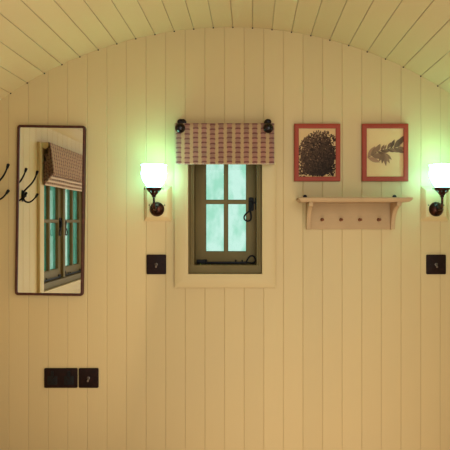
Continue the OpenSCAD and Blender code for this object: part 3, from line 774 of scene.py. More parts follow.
stud_timber = timber("stud_timber", paint(214, 178, 126), paint(168, 122, 74), 2)
joist_timber = timber("joist_timber", paint(204, 168, 118), paint(152, 110, 66), 0)
bearer_timber = timber("bearer_timber", paint(128, 104, 76), paint(82, 62, 44), 1, 0.8, 90.0, 0.0015)
print("timbers ready")


# %% Laminated ribs
def rib_finish():
    """Thin laths bent over the barrel and glued, seen as lines round its centre."""
    finish = Finish("rib_timber", roughness=0.65)
    lath_t = 0.010
    from_centre = ((finish.x * finish.x) + (finish.z - curve_z) * (finish.z - curve_z)) ** 0.5
    layer = from_centre / lath_t
    tone = finish.number(layer.floor())
    line = 1 - abs((layer + 0.5) % 1.0 - 0.5).ease(0.02, 0.09)
    grain = finish.streaks(1, 120.0, 30.0, 4.0)
    colour = finish.mix(tone * 0.5 + grain * 0.5, paint(160, 116, 70), paint(212, 174, 122))
    finish.set("Base Color", finish.dim(colour, 1 - line * 0.5))
    finish.bump(grain - line, 0.0006)
    return finish


refinish("roof_ribs", rib_finish())
for wall in ("end_wall", "left_wall", "right_wall"):
    refinish(wall + "_frame", stud_timber)

# %% [markdown]
# ## Chassis and floor
#
# Sawn beams carry joists, and oiled boards run lengthwise over them. Sawn timber has small round
# arrises, so each copy of a solid is only softened. The floor is laid board by board.

# %% Beams and joists
for node, finish, slot, arris in (
        ("chassis_beams", bearer_timber, "bearer_timber", 0.003),
        ("floor_joists", joist_timber, "frame_timber", 0.002)):
    bm = copy_of(node)
    soften(bm, arris)
    put(node + "_sawn", bm, finish, [node])


# %% Floor boards
def floor_finish():
    finish = Finish("oiled_floor", roughness=0.38)
    tone = finish.number(((finish.x - floor_first) / floor_pitch).floor())
    grain = finish.streaks(1, 150.0, 5.0, 4.0)
    figure = finish.streaks(1, 16.0, 1.1)
    share = (grain * 0.6 + figure * 0.6 - 0.1).math("MULTIPLY", 1.0, clamp=True)
    wood = finish.mix(share, paint(112, 74, 42), paint(172, 124, 76))
    finish.coat(finish.dim(wood, 0.85 + tone * 0.3), 0.32 + grain * 0.2, grain, 0.0003)
    return finish


floor_pitch = 0.140
floor_gap = 0.0015
floor_low, floor_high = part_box("floor_boards")
floor_first = floor_low.x


def floor_boards():
    bm = bmesh.new()
    x = floor_first
    while x < floor_high.x - 0.01:
        right = min(x + floor_pitch - floor_gap, floor_high.x)
        block(bm, (x, floor_low.y, floor_low.z), (right, floor_high.y, floor_high.z))
        x += floor_pitch
    soften(bm, 0.0012, segments=1)
    put("floor_planks", bm, floor_finish(), ["floor_boards"])


floor_boards()

# %% Skirting
skirting_paint = Finish("trim_lining_paint", roughness=0.4, Specular_IOR_Level=0.25)
skirting_marks = skirting_paint.streaks(0, 700.0, 60.0)
skirting_cloud = skirting_paint.cloud(5.0, 2.0)
skirting_tone = 0.96 + skirting_marks * 0.05 + skirting_cloud * 0.05
skirting_shade = skirting_paint.dim(lining_colour, skirting_tone)
skirting_paint.coat(skirting_shade, 0.36 + skirting_marks * 0.14, skirting_marks, 0.0003)


def skirting():
    bm = copy_of("skirting_board")
    high = box_of(bm.verts)[1]
    inner = [
        e for e in bm.edges
        if all(abs(v.co.z - high.z) < 0.001 for v in e.verts)
        and all(abs(v.co.x) < high.x - 0.01 and v.co.y < high.y - 0.01 for v in e.verts)
        and e.calc_face_angle(0.0) > 0.5]
    soften(bm, 0.008, segments=4, edges=inner)
    put("skirting", bm, skirting_paint, ["skirting_board"])


skirting()

# %% [markdown]
# ## Outside boards
#
# Outside, vertical boards in sage green cover the studs, with cream corner, eaves and verge
# boards. They are cut like the lining: one face, V joints, then a thickness.

# %% Cladding
clad_pitch = 0.118
sage = paint(118, 129, 104)
cream = paint(214, 200, 168)


def end_cladding():
    low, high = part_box("end_wall_cladding")
    bm = arch_face(high.y, ceiling_r + ceiling_t, high.x, low.z)
    window_cut(bm, *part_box("end_window_frame"), 0)
    groove(bm, 0, 1, 0.0, clad_pitch, low.x, high.x, -joint_d)
    thicken(bm, 1, low.y)
    put("end_wall_boarding", bm, end_cladding_paint, ["end_wall_cladding"])


clad_end_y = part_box("left_wall_cladding")[1].y
end_cladding_paint = board_paint("end_cladding_paint", sage, 0, 2, 0.0, clad_pitch, 0.12)
side_cladding_paint = board_paint("side_cladding_paint", sage, 1, 2, clad_end_y, clad_pitch, 0.12)
for wall in ("left_wall", "right_wall"):
    side_wall_boards(
        wall + "_cladding", wall + "_boarding", side_cladding_paint, -1, clad_end_y,
        clad_pitch, joint_w)
end_cladding()


# %% Corner, eaves and verge boards
def outside_paint(name, colour, along):
    """Brushed paint on a board that runs along an axis."""
    finish = Finish(name, roughness=0.45)
    marks = finish.streaks(along, 500.0, 12.0)
    cloud = finish.cloud(4.0)
    shaded = finish.dim(colour, 0.93 + marks * 0.06 + cloud * 0.08)
    finish.coat(shaded, 0.4 + marks * 0.2, marks, 0.0004)
    return finish


for node, along, flat_angle in (
        ("corner_boards", 2, 1.0), ("eaves_boards", 1, 1.0), ("verge_board", 0, 0.1)):
    bm = copy_of(node, flat_angle)
    soften(bm, 0.002)
    put(node + "_planed", bm, outside_paint(node + "_paint", cream, along), [node])

# %% [markdown]
# ## The tin roof
#
# Corrugated steel is rolled into waves 76 mm apart and then bent over the ribs. One wavy line,
# drawn along the hut, is spun round the barrel's axis, and a solidify pass gives it its gauge.
# Roofing screws with domed washers hold it down in rows that run along the hut.

# %% Roof sheet
wave_pitch = 0.0762
sheet_gauge = 0.0009
sheet_low, sheet_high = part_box("roof_sheet")
sheet_top_r = sheet_high.z - curve_z
wave_h = 0.016
points_per_wave = 8
sheet_facets = 56
sheet_half_angle = math.asin(sheet_high.x / sheet_top_r)


def galvanised():
    finish = Finish("roof_steel", roughness=0.45)
    finish.set("Metallic", 0.35)
    streak = finish.streaks(1, 3.0, 40.0, 4.0)
    cloud = finish.cloud(5.0, 4.0)
    tone = finish.mix(streak * 0.6 + cloud * 0.5 - 0.1, paint(66, 72, 74), paint(98, 104, 104))
    finish.coat(tone, 0.38 + cloud * 0.22, cloud, 0.0004)
    return finish


def roof_sheet():
    bm = bmesh.new()
    waves = round((sheet_high.y - sheet_low.y) / wave_pitch)
    steps = waves * points_per_wave
    middle_r = sheet_top_r - wave_h / 2
    swing = wave_h / 2 - sheet_gauge
    verts = []
    for step in range(steps + 1):
        y = sheet_low.y + (sheet_high.y - sheet_low.y) * step / steps
        z = curve_z + middle_r + swing * math.cos(math.tau * waves * step / steps)
        verts.append(bm.verts.new((0, y, z)))
    edges = [bm.edges.new(pair) for pair in zip(verts, verts[1:])]
    centre = Vector((0, 0, curve_z))
    bmesh.ops.rotate(bm, cent=centre, matrix=Matrix.Rotation(-sheet_half_angle, 3, "Y"), verts=bm.verts)
    bmesh.ops.spin(
        bm, geom=verts + edges, cent=centre, axis=(0, 1, 0), angle=2 * sheet_half_angle,
        steps=sheet_facets)
    bmesh.ops.recalc_face_normals(bm, faces=bm.faces)
    bmesh.ops.solidify(bm, geom=bm.faces[:], thickness=sheet_gauge)
    put("roof_tin", bm, galvanised(), ["roof_sheet"], crease=60)


roof_sheet()


# %% Roofing screws
def roof_screws():
    bm = bmesh.new()
    washer_r, head_r, sunk = 0.008, 0.004, 0.0042
    profile = [(washer_r, 0), (washer_r * 0.6, 0.0014), (head_r, 0.0016), (head_r, 0.0042), (0, 0.0046)]
    profile = [(radius, up - sunk) for radius, up in profile]
    seat = sheet_top_r - 0.0008
    rows, outer_row, waves_apart = 7, 0.94, 3
    for row in range(rows):
        angle = sheet_half_angle * outer_row * (2 * row / (rows - 1) - 1)
        turn = Matrix.Translation((0, 0, curve_z)) @ Matrix.Rotation(angle, 4, "Y")
        y = sheet_low.y + wave_pitch
        while y < sheet_high.y - wave_pitch / 2:
            part = bmesh.new()
            turned(part, profile, (0, y, seat), upwards, 6)
            join(bm, part, turn)
            y += wave_pitch * waves_apart
    put("roof_screws", bm, screw_steel)


screw_steel = flecked(
    "screw_steel", 300.0, paint(120, 122, 122), paint(176, 178, 176), roughness=0.35, Metallic=0.9)
roof_screws()

# %% [markdown]
# ## Joinery of the windows
#
# Each window is a rebated frame, a sash or a pair of sashes with four panes each, and a flat
# architrave mitred at its corners. The inside edges of the sashes carry a small rounded moulding
# that catches light over each pane. Inside all of it wears an olive brown satin paint. Outside,
# from the glass outwards, it is duck egg green, which shows through the glass at a slant. The
# architraves have the cream of the walls.

# %% Window paint
olive = paint(104, 88, 54)
duck_egg = paint(152, 204, 196)
end_glass_y = (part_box("end_window_panes")[0].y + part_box("end_window_panes")[1].y) / 2
side_glass_x = (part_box("side_window_panes")[0].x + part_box("side_window_panes")[1].x) / 2


def satin(name, colour, worn, fine):
    """Satin joinery paint with soft brush lines and a slightly rubbed tone, green past the glass."""
    finish = Finish(name, roughness=0.5, Specular_IOR_Level=0.12)
    marks = finish.streaks(2, fine, fine / 20)
    cross = finish.streaks(2, fine / 20, fine)
    cloud = finish.cloud(9.0)
    tone = finish.mix(cloud.ease(0.35, 0.75) * 0.5, colour, worn)
    outside = (finish.y > end_glass_y).math("MAXIMUM", finish.x < side_glass_x)
    tone = finish.mix(outside, tone, duck_egg)
    shaded = finish.dim(tone, 0.93 + marks * 0.08 + cross * 0.06)
    finish.coat(shaded, 0.42 + marks * 0.16, marks + cross, 0.0002)
    return finish


window_paint = satin("window_paint", olive, paint(120, 100, 62), 420.0)


# %% Frames and sashes
def window_frame(node):
    bm = copy_of(node)
    soften(bm, 0.003, segments=3)
    put(node + "_joinery", bm, window_paint, [node])


def sashes(node, deep):
    """Sashes whose edges are rounded: wide round the panes, narrow elsewhere."""
    across = 1 - deep
    bm = copy_of(node)
    inner = []
    outer = []
    for part in loose_parts(bm):
        low, high = box_of(part)
        for edge in {e for v in part for e in v.link_edges}:
            if edge.calc_face_angle(0.0) < 0.5:
                continue
            middle = (edge.verts[0].co + edge.verts[1].co) / 2
            flat = abs(edge.verts[0].co[deep] - edge.verts[1].co[deep]) < 0.001
            margin = min(min(middle[a] - low[a], high[a] - middle[a]) for a in (across, 2))
            if flat and margin > 0.01:
                inner.append(edge)
            elif margin <= 0.01:
                outer.append(edge)
    rounded = len(bevel(bm, inner, sash_moulding_r, 4))
    soften(bm, 0.0015, edges=[e for e in outer if e.is_valid])
    put(node + "_joinery", bm, window_paint, [node])
    print("moulding faces:", rounded)


sash_moulding_r = 0.007
frame_bead_r = 0.0045


def frame_beads(window, sash_node, across):
    """A round bead along the head and both jambs of a frame, which catches the light."""
    frame_low, frame_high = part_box(window + "_frame")
    sash_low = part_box(window + sash_node)[0]
    deep = 1 - across
    front = frame_low[deep] if across == 0 else frame_high[deep]
    jamb = (sash_low[across] - frame_low[across]) / 2
    head_z = frame_high.z - jamb
    corners = []
    for side, z in ((-1, sash_low.z), (-1, head_z), (1, head_z), (1, sash_low.z)):
        corner = Vector((front, front, z))
        corner[across] = frame_low[across] + jamb if side < 0 else frame_high[across] - jamb
        corners.append(corner)
    bm = bmesh.new()
    for pair in zip(corners, corners[1:]):
        rod(bm, pair, frame_bead_r, smooth=False, sides=4)
    put(window + "_beads", bm, window_paint)


window_frame("end_window_frame")
window_frame("side_window_frame")
frame_beads("end_window", "_sash", 0)
frame_beads("side_window", "_sashes", 1)
sashes("end_window_sash", 1)
sashes("side_window_sashes", 0)


# %% Glass
def window_glass():
    """Old drawn glass: clear with a green cast, and a little uneven."""
    finish = Finish("window_glass", roughness=0.02, IOR=1.45, Transmission_Weight=1.0)
    wave = finish.streaks(2, 16.0, 9.0)
    tint = finish.mix(wave.ease(0.35, 0.65), paint(198, 243, 226), paint(156, 224, 195))
    finish.set("Base Color", tint)
    finish.bump(wave, 0.0006)
    return finish


glass = window_glass()
refinish("end_window_panes", glass)
refinish("side_window_panes", glass)


# %% Mitred rings
def in_plane(edge, point, normal):
    return all(abs((vert.co - point).dot(normal)) < 0.00001 for vert in edge.verts)


def mitred_ring(bm, low, high, width, across, arris=0.002, segments=2):
    """Four boards with mitred ends, flat round a rectangle. Width is the boards' face width."""
    for axis, side in ((across, -1), (across, 1), (2, -1), (2, 1)):
        board = bmesh.new()
        board_low, board_high = Vector(low), Vector(high)
        if side < 0:
            board_high[axis] = low[axis] + width
        else:
            board_low[axis] = high[axis] - width
        block(board, board_low, board_high)
        other = 2 if axis == across else across
        mitres = []
        for end in (-1, 1):
            corner = Vector((0, 0, 0))
            corner[axis] = (low if side < 0 else high)[axis]
            corner[other] = (low if end < 0 else high)[other]
            outward = Vector((0, 0, 0))
            outward[axis] = -side
            outward[other] = end
            cut(board, corner, outward, drop_beyond=True)
            mitres.append((corner, outward))
        bmesh.ops.holes_fill(board, edges=[e for e in board.edges if e.is_boundary], sides=0)
        bmesh.ops.recalc_face_normals(board, faces=board.faces)
        along = [e for e in board.edges if not any(in_plane(e, *mitre) for mitre in mitres)]
        soften(board, arris, segments, edges=along)
        join(bm, board)


def architraves():
    bm = bmesh.new()
    frame_boxes = {0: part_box("end_window_frame"), 1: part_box("side_window_frame")}
    for across, (low, high) in frame_boxes.items():
        ring_low, ring_high = low.copy(), high.copy()
        if across == 0:
            ring_low.y, ring_high.y = face_y - architrave_t, face_y
        else:
            ring_low.x, ring_high.x = -half_room, -half_room + architrave_t
        for axis in (across, 2):
            ring_low[axis] -= architrave_w
            ring_high[axis] += architrave_w
        mitred_ring(bm, ring_low, ring_high, architrave_w, across, 0.0015)
    put("architraves", bm, skirting_paint, ["window_architraves"])


architrave_boxes = solids_of("window_architraves", 1)
architrave_t = face_y - architrave_boxes[-1][0].y
architrave_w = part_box("end_window_frame")[0].x - architrave_boxes[-1][0].x
print("architrave", round(architrave_w, 3), "by", round(architrave_t, 3))
architraves()

# %% [markdown]
# ## Black iron catches
#
# Casements of this kind are shut by a fastener whose handle hangs down in a curled tail, and held
# open by a stay that lies on the bottom rail over two pins. A smith draws both out of round and
# flat bar, so the tails are rods bent to a teardrop, thinner towards the tip. Everything on a
# wall is drawn once, with X along the wall and Y into it, and then placed on its own wall.

# %% The two walls
end_wall = Matrix.Translation((0, face_y, 0))
left_wall = Matrix.Translation((-half_room, face_y, 0)) @ Matrix.Rotation(math.radians(90), 4, "Z")


def on_wall(box, wall):
    """A box of the frame as low and high corners in a wall's own directions."""
    back = wall.inverted()
    corners = [back @ corner for corner in box]
    low = Vector(min(c[i] for c in corners) for i in range(3))
    high = Vector(max(c[i] for c in corners) for i in range(3))
    return low, high


# %% Iron
def iron_finish(name, colour, pale, roughness, metallic, scale=260.0, depth=0.0004, gleam=0.5):
    """Dark metal, a little uneven from the hammer and rubbed paler in places."""
    finish = Finish(name, roughness=roughness, Specular_IOR_Level=gleam)
    finish.set("Metallic", metallic)
    cells = finish.add("ShaderNodeTexVoronoi", {}, {"Vector": finish.stretch(scale, scale, scale)})
    cloud = finish.cloud(60.0)
    rubbed = finish.mix(cloud.ease(0.45, 0.8), colour, pale)
    finish.coat(rubbed, roughness + (cloud - 0.5) * 0.25, cells * 0.6 + cloud, depth)
    return finish


black_iron = iron_finish("black_iron", paint(9, 7, 6), paint(24, 18, 14), 0.5, 0.0, gleam=0.2)


def teardrop(centre, width, length, turn):
    """Points round a teardrop in the plane of a wall. Its tip is up, or turned from up by degrees."""
    tilt = Matrix.Rotation(math.radians(turn), 3, "Y")
    points = []
    steps = 20
    for step in range(steps):
        angle = math.tau * step / steps
        across = 0.69 * width * math.sin(angle) * abs(math.sin(angle / 2)) ** 1.3
        points.append(Vector(centre) + tilt @ Vector((across, 0, length / 2 * math.cos(angle))))
    return points


def slotted_screw(bm, centre, radius=0.0035):
    """A domed screw head on a plate, with a thin bar across it in place of the slot."""
    part = bmesh.new()
    head = [(radius, 0), (radius * 0.85, radius * 0.35), (0, radius * 0.45)]
    turned(part, head, (0, 0, 0), upwards, 12)
    slot = bmesh.new()
    slot_high = Vector((0.8, 0.12, 0.5)) * radius
    block(slot, (-slot_high.x, -slot_high.y, radius * 0.42), slot_high)
    join(part, slot)
    turn = Vector(upwards).rotation_difference(Vector(to_room)).to_matrix().to_4x4()
    join(bm, part, Matrix.Translation(centre) @ turn)


def rounded_block(low, high, corner, segments):
    """A block whose edges that point out of the wall are rounded."""
    part = bmesh.new()
    block(part, low, high)
    bevel(part, edges_along(part, 1), corner, segments)
    return part


# %% Fasteners and stays
fastener_w, fastener_h, fastener_t = 0.024, 0.062, 0.004
fastener_up = 0.020
tail_r = 0.0038
tail_w, tail_l = 0.033, 0.050


def fastener(bm, place, edge, way):
    """A plate, a pivot boss, a handle that hangs down to a curled tail, and a tongue in its keep.

    The place is the middle of the plate's top, and the stile's edge is beside it, the way given."""
    plate_low = (-fastener_w / 2, -fastener_t, -fastener_h)
    part = rounded_block(plate_low, (fastener_w / 2, 0, 0), 0.007, 4)
    soften(part, 0.001)
    boss = [(0, -0.002), (0.009, -0.002), (0.009, 0.004), (0.0075, 0.006), (0.004, 0.0075), (0, 0.008)]
    pivot_z = -fastener_h * 0.4
    turned(part, boss, (0, -fastener_t, pivot_z), to_room, 24)
    out = -fastener_t - tail_r * 1.1
    neck = Vector((-0.005, out, -fastener_h))
    handle = [(0, out, pivot_z + 0.004), (0, out - 0.002, pivot_z - 0.012), neck]
    rod(part, handle, [tail_r * 1.9, tail_r * 1.6, tail_r])
    loop = teardrop(neck + Vector((-0.008, 0, -tail_l * 0.42)), tail_w, tail_l, 18)
    turns = [math.pi * number / len(loop) for number in range(len(loop))]
    rod(part, loop, [tail_r * (1.15 - 0.25 * abs(math.sin(turn))) for turn in turns], closed=True)
    keep = bmesh.new()
    block(keep, (edge - 0.006, -0.008, -fastener_h * 0.9), (edge - 0.001, 0, -0.002))
    block(keep, (0, -0.007, pivot_z - 0.004), (edge - 0.003, -0.004, pivot_z + 0.004))
    soften(keep, 0.0008, segments=1)
    join(part, keep)
    for spot in (0.007, fastener_h - 0.007):
        slotted_screw(part, (0, -fastener_t, -spot), 0.003)
    join(bm, part, Matrix.Translation(place) @ Matrix.Diagonal((way, 1, 1, 1)))


stay_t, stay_h = 0.006, 0.010
stay_plate_w, stay_plate_h = 0.047, 0.021
stay_loop_w, stay_loop_l, stay_loop_turn = 0.034, 0.045, -115


def stay(bm, left, right, bottom, y):
    """A bar along the bottom rail, with a hinge plate, two pins under it and a curled end."""
    part = bmesh.new()
    block(part, (left, y - stay_t * 0.7, bottom), (left + stay_plate_w, y, bottom + stay_plate_h))
    middle_z = bottom + stay_h * 0.6
    block(part, (left + stay_plate_w - 0.006, y - stay_t, middle_z - stay_h / 2),
          (right - stay_loop_l * 0.8, y - stay_t * 0.35, middle_z + stay_h / 2))
    soften(part, 0.0012)
    join(bm, part)
    hinge = [(0.0, 0.0), (0.0042, 0.0), (0.0042, stay_plate_h), (0.0, stay_plate_h + 0.001)]
    turned(bm, hinge, (left + stay_plate_w - 0.004, y - stay_t * 0.5, bottom), upwards, 16)
    pin = [(0, 0), (0.0024, 0), (0.0024, 0.015), (0.0034, 0.0155), (0.0034, 0.0185), (0, 0.020)]
    for share in (0.67, 0.78):
        turned(bm, pin, (left + (right - left) * share, y - stay_t * 0.65, bottom), upwards, 12)
    loop_middle = (right - stay_loop_l * 0.46, y - stay_t * 0.65, bottom + 0.018)
    loop = teardrop(loop_middle, stay_loop_w, stay_loop_l, stay_loop_turn)
    rod(bm, loop, tail_r * 0.9, closed=True)
    for share in (0.2, 0.65):
        spot = (left + stay_plate_w * share, y - stay_t * 0.7, bottom + stay_plate_h / 2)
        slotted_screw(bm, spot, 0.0028)


def cross_bar_height(panes_node):
    """The height of the bar between the lower and the upper panes."""
    boxes = solids_of(panes_node, 2)
    return (boxes[0][1].z + boxes[-1][0].z) / 2


def catches():
    """The first sash of each wall closes to its right. The side window's second one meets it."""
    bm = bmesh.new()
    for wall, window, sash_node in (
            (end_wall, "end_window", "_sash"), (left_wall, "side_window", "_sashes")):
        part = bmesh.new()
        boxes = [on_wall(box, wall) for box in solids_of(window + sash_node)]
        boxes.sort(key=lambda box: box[0].x)
        panes_low = on_wall(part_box(window + "_panes"), wall)[0]
        half_stile = (panes_low.x - boxes[0][0].x) / 2
        top = cross_bar_height(window + "_panes") + fastener_up
        for (low, high), way in zip(boxes, (1, -1)):
            x = high.x - half_stile if way > 0 else low.x + half_stile
            fastener(part, (x, low.y, top), half_stile, way)
            stay(part, low.x + 0.006, high.x - 0.006, low.z + 0.0003, low.y)
        join(bm, part, wall)
    put("catches_forged", bm, black_iron, ["window_catches"])


catches()

# %% [markdown]
# ## Blinds
#
# A roman blind is one sheet of lined linen. Pulled up, it goes over its batten, down the front,
# and then back and forth behind in soft folds. So one line is drawn across the blind, through
# every fold, and spread to the blind's width. The end window's folds hang straight. The side
# window's spread downwards in front and hang lower towards the wall, so their edges show as a
# stack of bands. The sheet's own UV map counts metres of cloth, and the block print and the weave
# follow it round the folds. A picot edge hangs from the front fold.

# %% Printed linen
column_pitch, row_pitch = 0.0364, 0.0206
thread_pitch = cloth_t = 0.0011
cloth_step = 0.018
side_gap = 0.001


def linen():
    """Columns of stacked blocks, printed in mauve and brown on oatmeal cloth, with a pale painted highlight
    along the side blind's fold bottoms.
    """
    finish = Finish("printed_linen", roughness=0.85, Sheen_Weight=0.2, Specular_IOR_Level=0.2)
    cloth = finish.add("ShaderNodeUVMap", {"uv_map": "cloth"})
    u, v = (finish.add("ShaderNodeSeparateXYZ", {}, {0: cloth}, axis) for axis in range(2))
    fold_highlight = finish.add("ShaderNodeAttribute", {"attribute_name": "fold_highlight"}, output="Fac")
    waver = finish.cloud(110.0, 2.0) - 0.5
    across = abs((u / column_pitch) % 1.0 - 0.5 + waver * 0.12)
    column = (u / column_pitch).floor()
    rise = (finish.number(column) - 0.5) * 0.3 + (0.25 - across * across) * 0.7
    row = v / row_pitch + rise
    along = abs(row % 1.0 - 0.5 + waver * 0.14)
    body = 1 - (across - along * 0.09 - 0.275).ease(-0.07, 0.07)
    bar = along.ease(0.28, 0.42) * body
    block_tone = finish.number(row.floor() + column * 31.0)
    worn = finish.cloud(240.0)
    thread_u, thread_v = (((way * (math.tau / thread_pitch)).sin() + 1) * 0.5 for way in (u, v))
    ground = finish.mix(worn, paint(196, 160, 114), paint(160, 126, 86))
    ink = finish.mix(block_tone, paint(160, 106, 92), paint(132, 92, 78))
    printed = finish.mix(body * (0.68 + worn * 0.32), ground, ink)
    printed = finish.mix(bar * (0.6 + worn * 0.6), printed, paint(104, 50, 46))
    # Painted highlight: pale along the fold bottoms of the side blind.
    highlighted = finish.mix(fold_highlight.ease(0.8, 0.9), printed, paint(222, 186, 158))
    finish.set("Base Color", finish.dim(highlighted, 0.92 + thread_u * 0.08 + thread_v * 0.06))
    finish.bump(thread_u + thread_v + worn * 0.5, 0.0003)
    return finish


# %% The line through the folds
def half_turn(start, end, way):
    """Points of a half turn from start to end. It passes below them for way -1, above for +1."""
    middle = (start + end) / 2
    arm = start - middle
    turns = [Matrix.Rotation(way * math.pi * step / 6, 2) for step in range(1, 6)]
    return [middle + turn @ arm for turn in turns]


def fold_line(front, back, folds):
    """Points (out from the wall, height) from the batten's back edge through every fold.

    Front and back are the top and the bottom of the first and of the last run of cloth. The runs
    between them are spaced evenly, and half turns join each to the next."""
    runs = 2 * folds
    front_out = front[0][0]
    over_batten = ((0.0175, 0.0007), (front_out * 0.7, 0.0012), (front_out - 0.002, 0.0007))
    points = [Vector(place) for place in over_batten]
    bottoms = []
    for run in range(runs):
        share = run / (runs - 1)
        top = Vector(front[0]).lerp(Vector(back[0]), share)
        bottom = Vector(front[1]).lerp(Vector(back[1]), share)
        start, end = (top, bottom) if run % 2 == 0 else (bottom, top)
        if run > 0:
            turn = half_turn(points[-1], start, -1 if run % 2 else 1)
            if run % 2:
                bottoms.append((len(points) - 1, len(points) + len(turn)))
            points += turn
        slack = 0.0012 if run % 2 == 0 else -0.0008
        for step in range(9):
            bulge = slack * math.sin(math.pi * step / 8)
            points.append(start.lerp(end, step / 8) + Vector((bulge, 0)))
    return points, bottoms


def cloth_sheet(node, line, bottoms, low, high, wall):
    bm = bmesh.new()
    columns = round((high.x - low.x) / cloth_step)
    rows = len(line) - 1
    bmesh.ops.create_grid(bm, x_segments=columns, y_segments=rows, size=0.5)
    lengths = [0.0]
    for first, second in zip(line, line[1:]):
        lengths.append(lengths[-1] + (second - first).length)
    width = high.x - low.x - 2 * side_gap
    fold_highlight = bm.verts.layers.float.new("fold_highlight")
    cloth = bm.loops.layers.uv.new("cloth")
    metres = {}
    first_bottom = bottoms[0][1]
    for vert in bm.verts:
        share = vert.co.x + 0.5
        row = round((vert.co.y + 0.5) * rows)
        out, up = line[row]
        metres[vert] = (share * width, lengths[row])
        place = Vector((low.x + side_gap + share * width, -out, high.z + up))
        free = min(1.0, -min(0.0, up) / 0.08)
        sway = Vector((place.x * 5.0, place.z * 4.0, 1.7))
        place.y += 0.0020 * free * noise.noise(sway)
        place.z += 0.0018 * free * noise.noise(sway * 0.7 + Vector((9.0, 0, 0)))
        vert.co = place
        # All fold bottoms of the side blind after the first get the pale painted highlight.
        highlit_fold = node == "side_blind" and row > first_bottom
        vert[fold_highlight] = 1.0 if highlit_fold and any(first < row < last for first, last in bottoms) else 0.0
    for face in bm.faces:
        for loop in face.loops:
            loop[cloth].uv = metres[loop.vert]
    piece = put(
        node + "_cloth", bm, printed_linen, [node], crease=80, flip=False, place=wall)
    solid = piece.modifiers.new("cloth thickness", "SOLIDIFY")
    solid.thickness = cloth_t
    solid.offset = 0.0
    print(node, "cloth", round(width, 3), "by", round(lengths[-1], 3))


printed_linen = linen()

# %% Picot edge
cotton = flecked(
    "picot_cotton", 900.0, paint(250, 240, 206), paint(230, 214, 170), 0.0003, roughness=0.8)
bead_pitch, bead_r = 0.0062, 0.0019


def picot_edge(bm, left, right, out, bottom):
    """A row of small beads sewn under the front fold."""
    count = round((right - left) / bead_pitch)
    angles = [math.pi * step / 4 for step in range(5)]
    bead = [(bead_r * math.sin(angle), -bead_r * 1.2 * math.cos(angle)) for angle in angles]
    for number in range(count):
        x = left + (number + 0.5) * (right - left) / count
        turned(bm, bead, (x, -out, bottom), upwards, 6)


# %% Both blinds
rail_t = 0.032


def batten(bm, low, high, architrave_face):
    """The batten that a blind hangs from, with a round lower edge."""
    part = bmesh.new()
    bottom = high.z - rail_t
    inset = 0.0015
    block(part, (low.x + inset, architrave_face - rail_t, bottom), (high.x - inset, architrave_face, high.z))
    lower = [e for e in edges_along(part, 0) if all(v.co.z < bottom + 0.001 for v in e.verts)]
    bevel(part, lower, rail_t * 0.49, 8)
    join(bm, part)


def blinds():
    battens = bmesh.new()
    beads = bmesh.new()
    edge = 0.004
    for node, wall in (("end_blind", end_wall), ("side_blind", left_wall)):
        low, high = on_wall(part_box(node), wall)
        drop = high.z - low.z - edge
        out = -low.y - 0.002
        if node == "end_blind":
            front = ((out, -0.002), (out, -drop))
            back = ((0.024, -drop * 0.4), (0.024, -drop * 0.96))
            folds = 2
            front_drop = drop
        else:
            front_drop = drop * 0.71
            front = ((0.056, -0.002), (out, -front_drop))
            back = ((0.026, -drop * 0.62), (0.022, -drop))
            folds = 4
        line, bottoms = fold_line(front, back, folds)
        cloth_sheet(node, line, bottoms, low, high, wall)
        part = bmesh.new()
        picot_edge(part, low.x + edge, high.x - edge, out - edge, high.z - front_drop - edge * 1.3)
        join(beads, part, wall)
        part = bmesh.new()
        batten(part, low, high, -architrave_t)
        join(battens, part, wall)
    put("blind_picot_edges", beads, cotton)
    put("blind_battens", battens, skirting_paint)


blinds()

# %% [markdown]
# ## Bronze
#
# The brackets over the end window's blind and the lamps are cast and turned in bronze that has
# gone almost black, with a copper glow where it is rubbed. Turned parts are spun from a profile.
# The arms are bent rod.

# %% Blind brackets
bronze = iron_finish("dark_bronze", paint(44, 22, 16), paint(104, 56, 38), 0.3, 0.8, 500.0, 0.00015)
old_bronze = iron_finish("old_bronze", paint(20, 12, 9), paint(62, 36, 26), 0.22, 0.55, 500.0, 0.00015)
rose_r = 0.016


def ball_bracket(bm, x, arm_z, ball, ball_r):
    """A rose on the wall, an arm over the blind to a button, and a collared ball that hangs from it."""
    arm_r = 0.005
    rose = [(0, 0), (rose_r, 0), (rose_r, 0.002), (rose_r * 0.86, 0.0035), (rose_r * 0.7, 0.0035),
            (rose_r * 0.6, 0.006), (arm_r * 1.5, 0.0065), (arm_r, 0.010)]
    turned(bm, rose, (x, 0, arm_z), to_room)
    end = Vector((x, ball.y + 0.009, ball.z + ball_r + 0.005))
    rod(bm, [(x, 0, arm_z), (x, end.y * 0.5, arm_z), (x, end.y * 0.8, arm_z - 0.001), end], arm_r, sides=4)
    button = [(0, 0.007), (0.0045, 0.0068), (0.006, 0.0045), (0.0075, 0.004), (0.0095, 0.0055),
              (0.0125, 0.004), (0.0138, 0.001), (0.0125, -0.002), (arm_r, -0.004), (0, -0.004)]
    turned(bm, button, end, to_room)
    collar = [(0, 0.0035), (0.0065, 0.0030), (0.0075, 0.0015), (0.0065, 0.0), (0.0105, -0.0010),
              (0.0105, -0.0025)]
    collar = [(radius, ball_r + up) for radius, up in collar]
    angles = [math.radians(angle) for angle in range(60, -90, -10)]
    sphere = [(ball_r * math.cos(angle), ball_r * math.sin(angle)) for angle in angles]
    turned(bm, collar + sphere + [(0, -ball_r)], ball, upwards)


def blind_brackets():
    bm = bmesh.new()
    for box in solids_of("blind_brackets"):
        low, high = on_wall(box, end_wall)
        x = (low.x + high.x) / 2
        ball_r = (high.x - low.x) / 2
        ball_bracket(bm, x, high.z - rose_r, Vector((x, low.y + ball_r, low.z + ball_r)), ball_r)
    put("brackets_turned", bm, old_bronze, ["blind_brackets"], place=end_wall)


blind_brackets()

# %% Lamp blocks
bm = copy_of("lamp_blocks", 0.5)
soften(bm, 0.0012, sharper_than=15.0)
put("lamp_blocks_planed", bm, skirting_paint, ["lamp_blocks"])

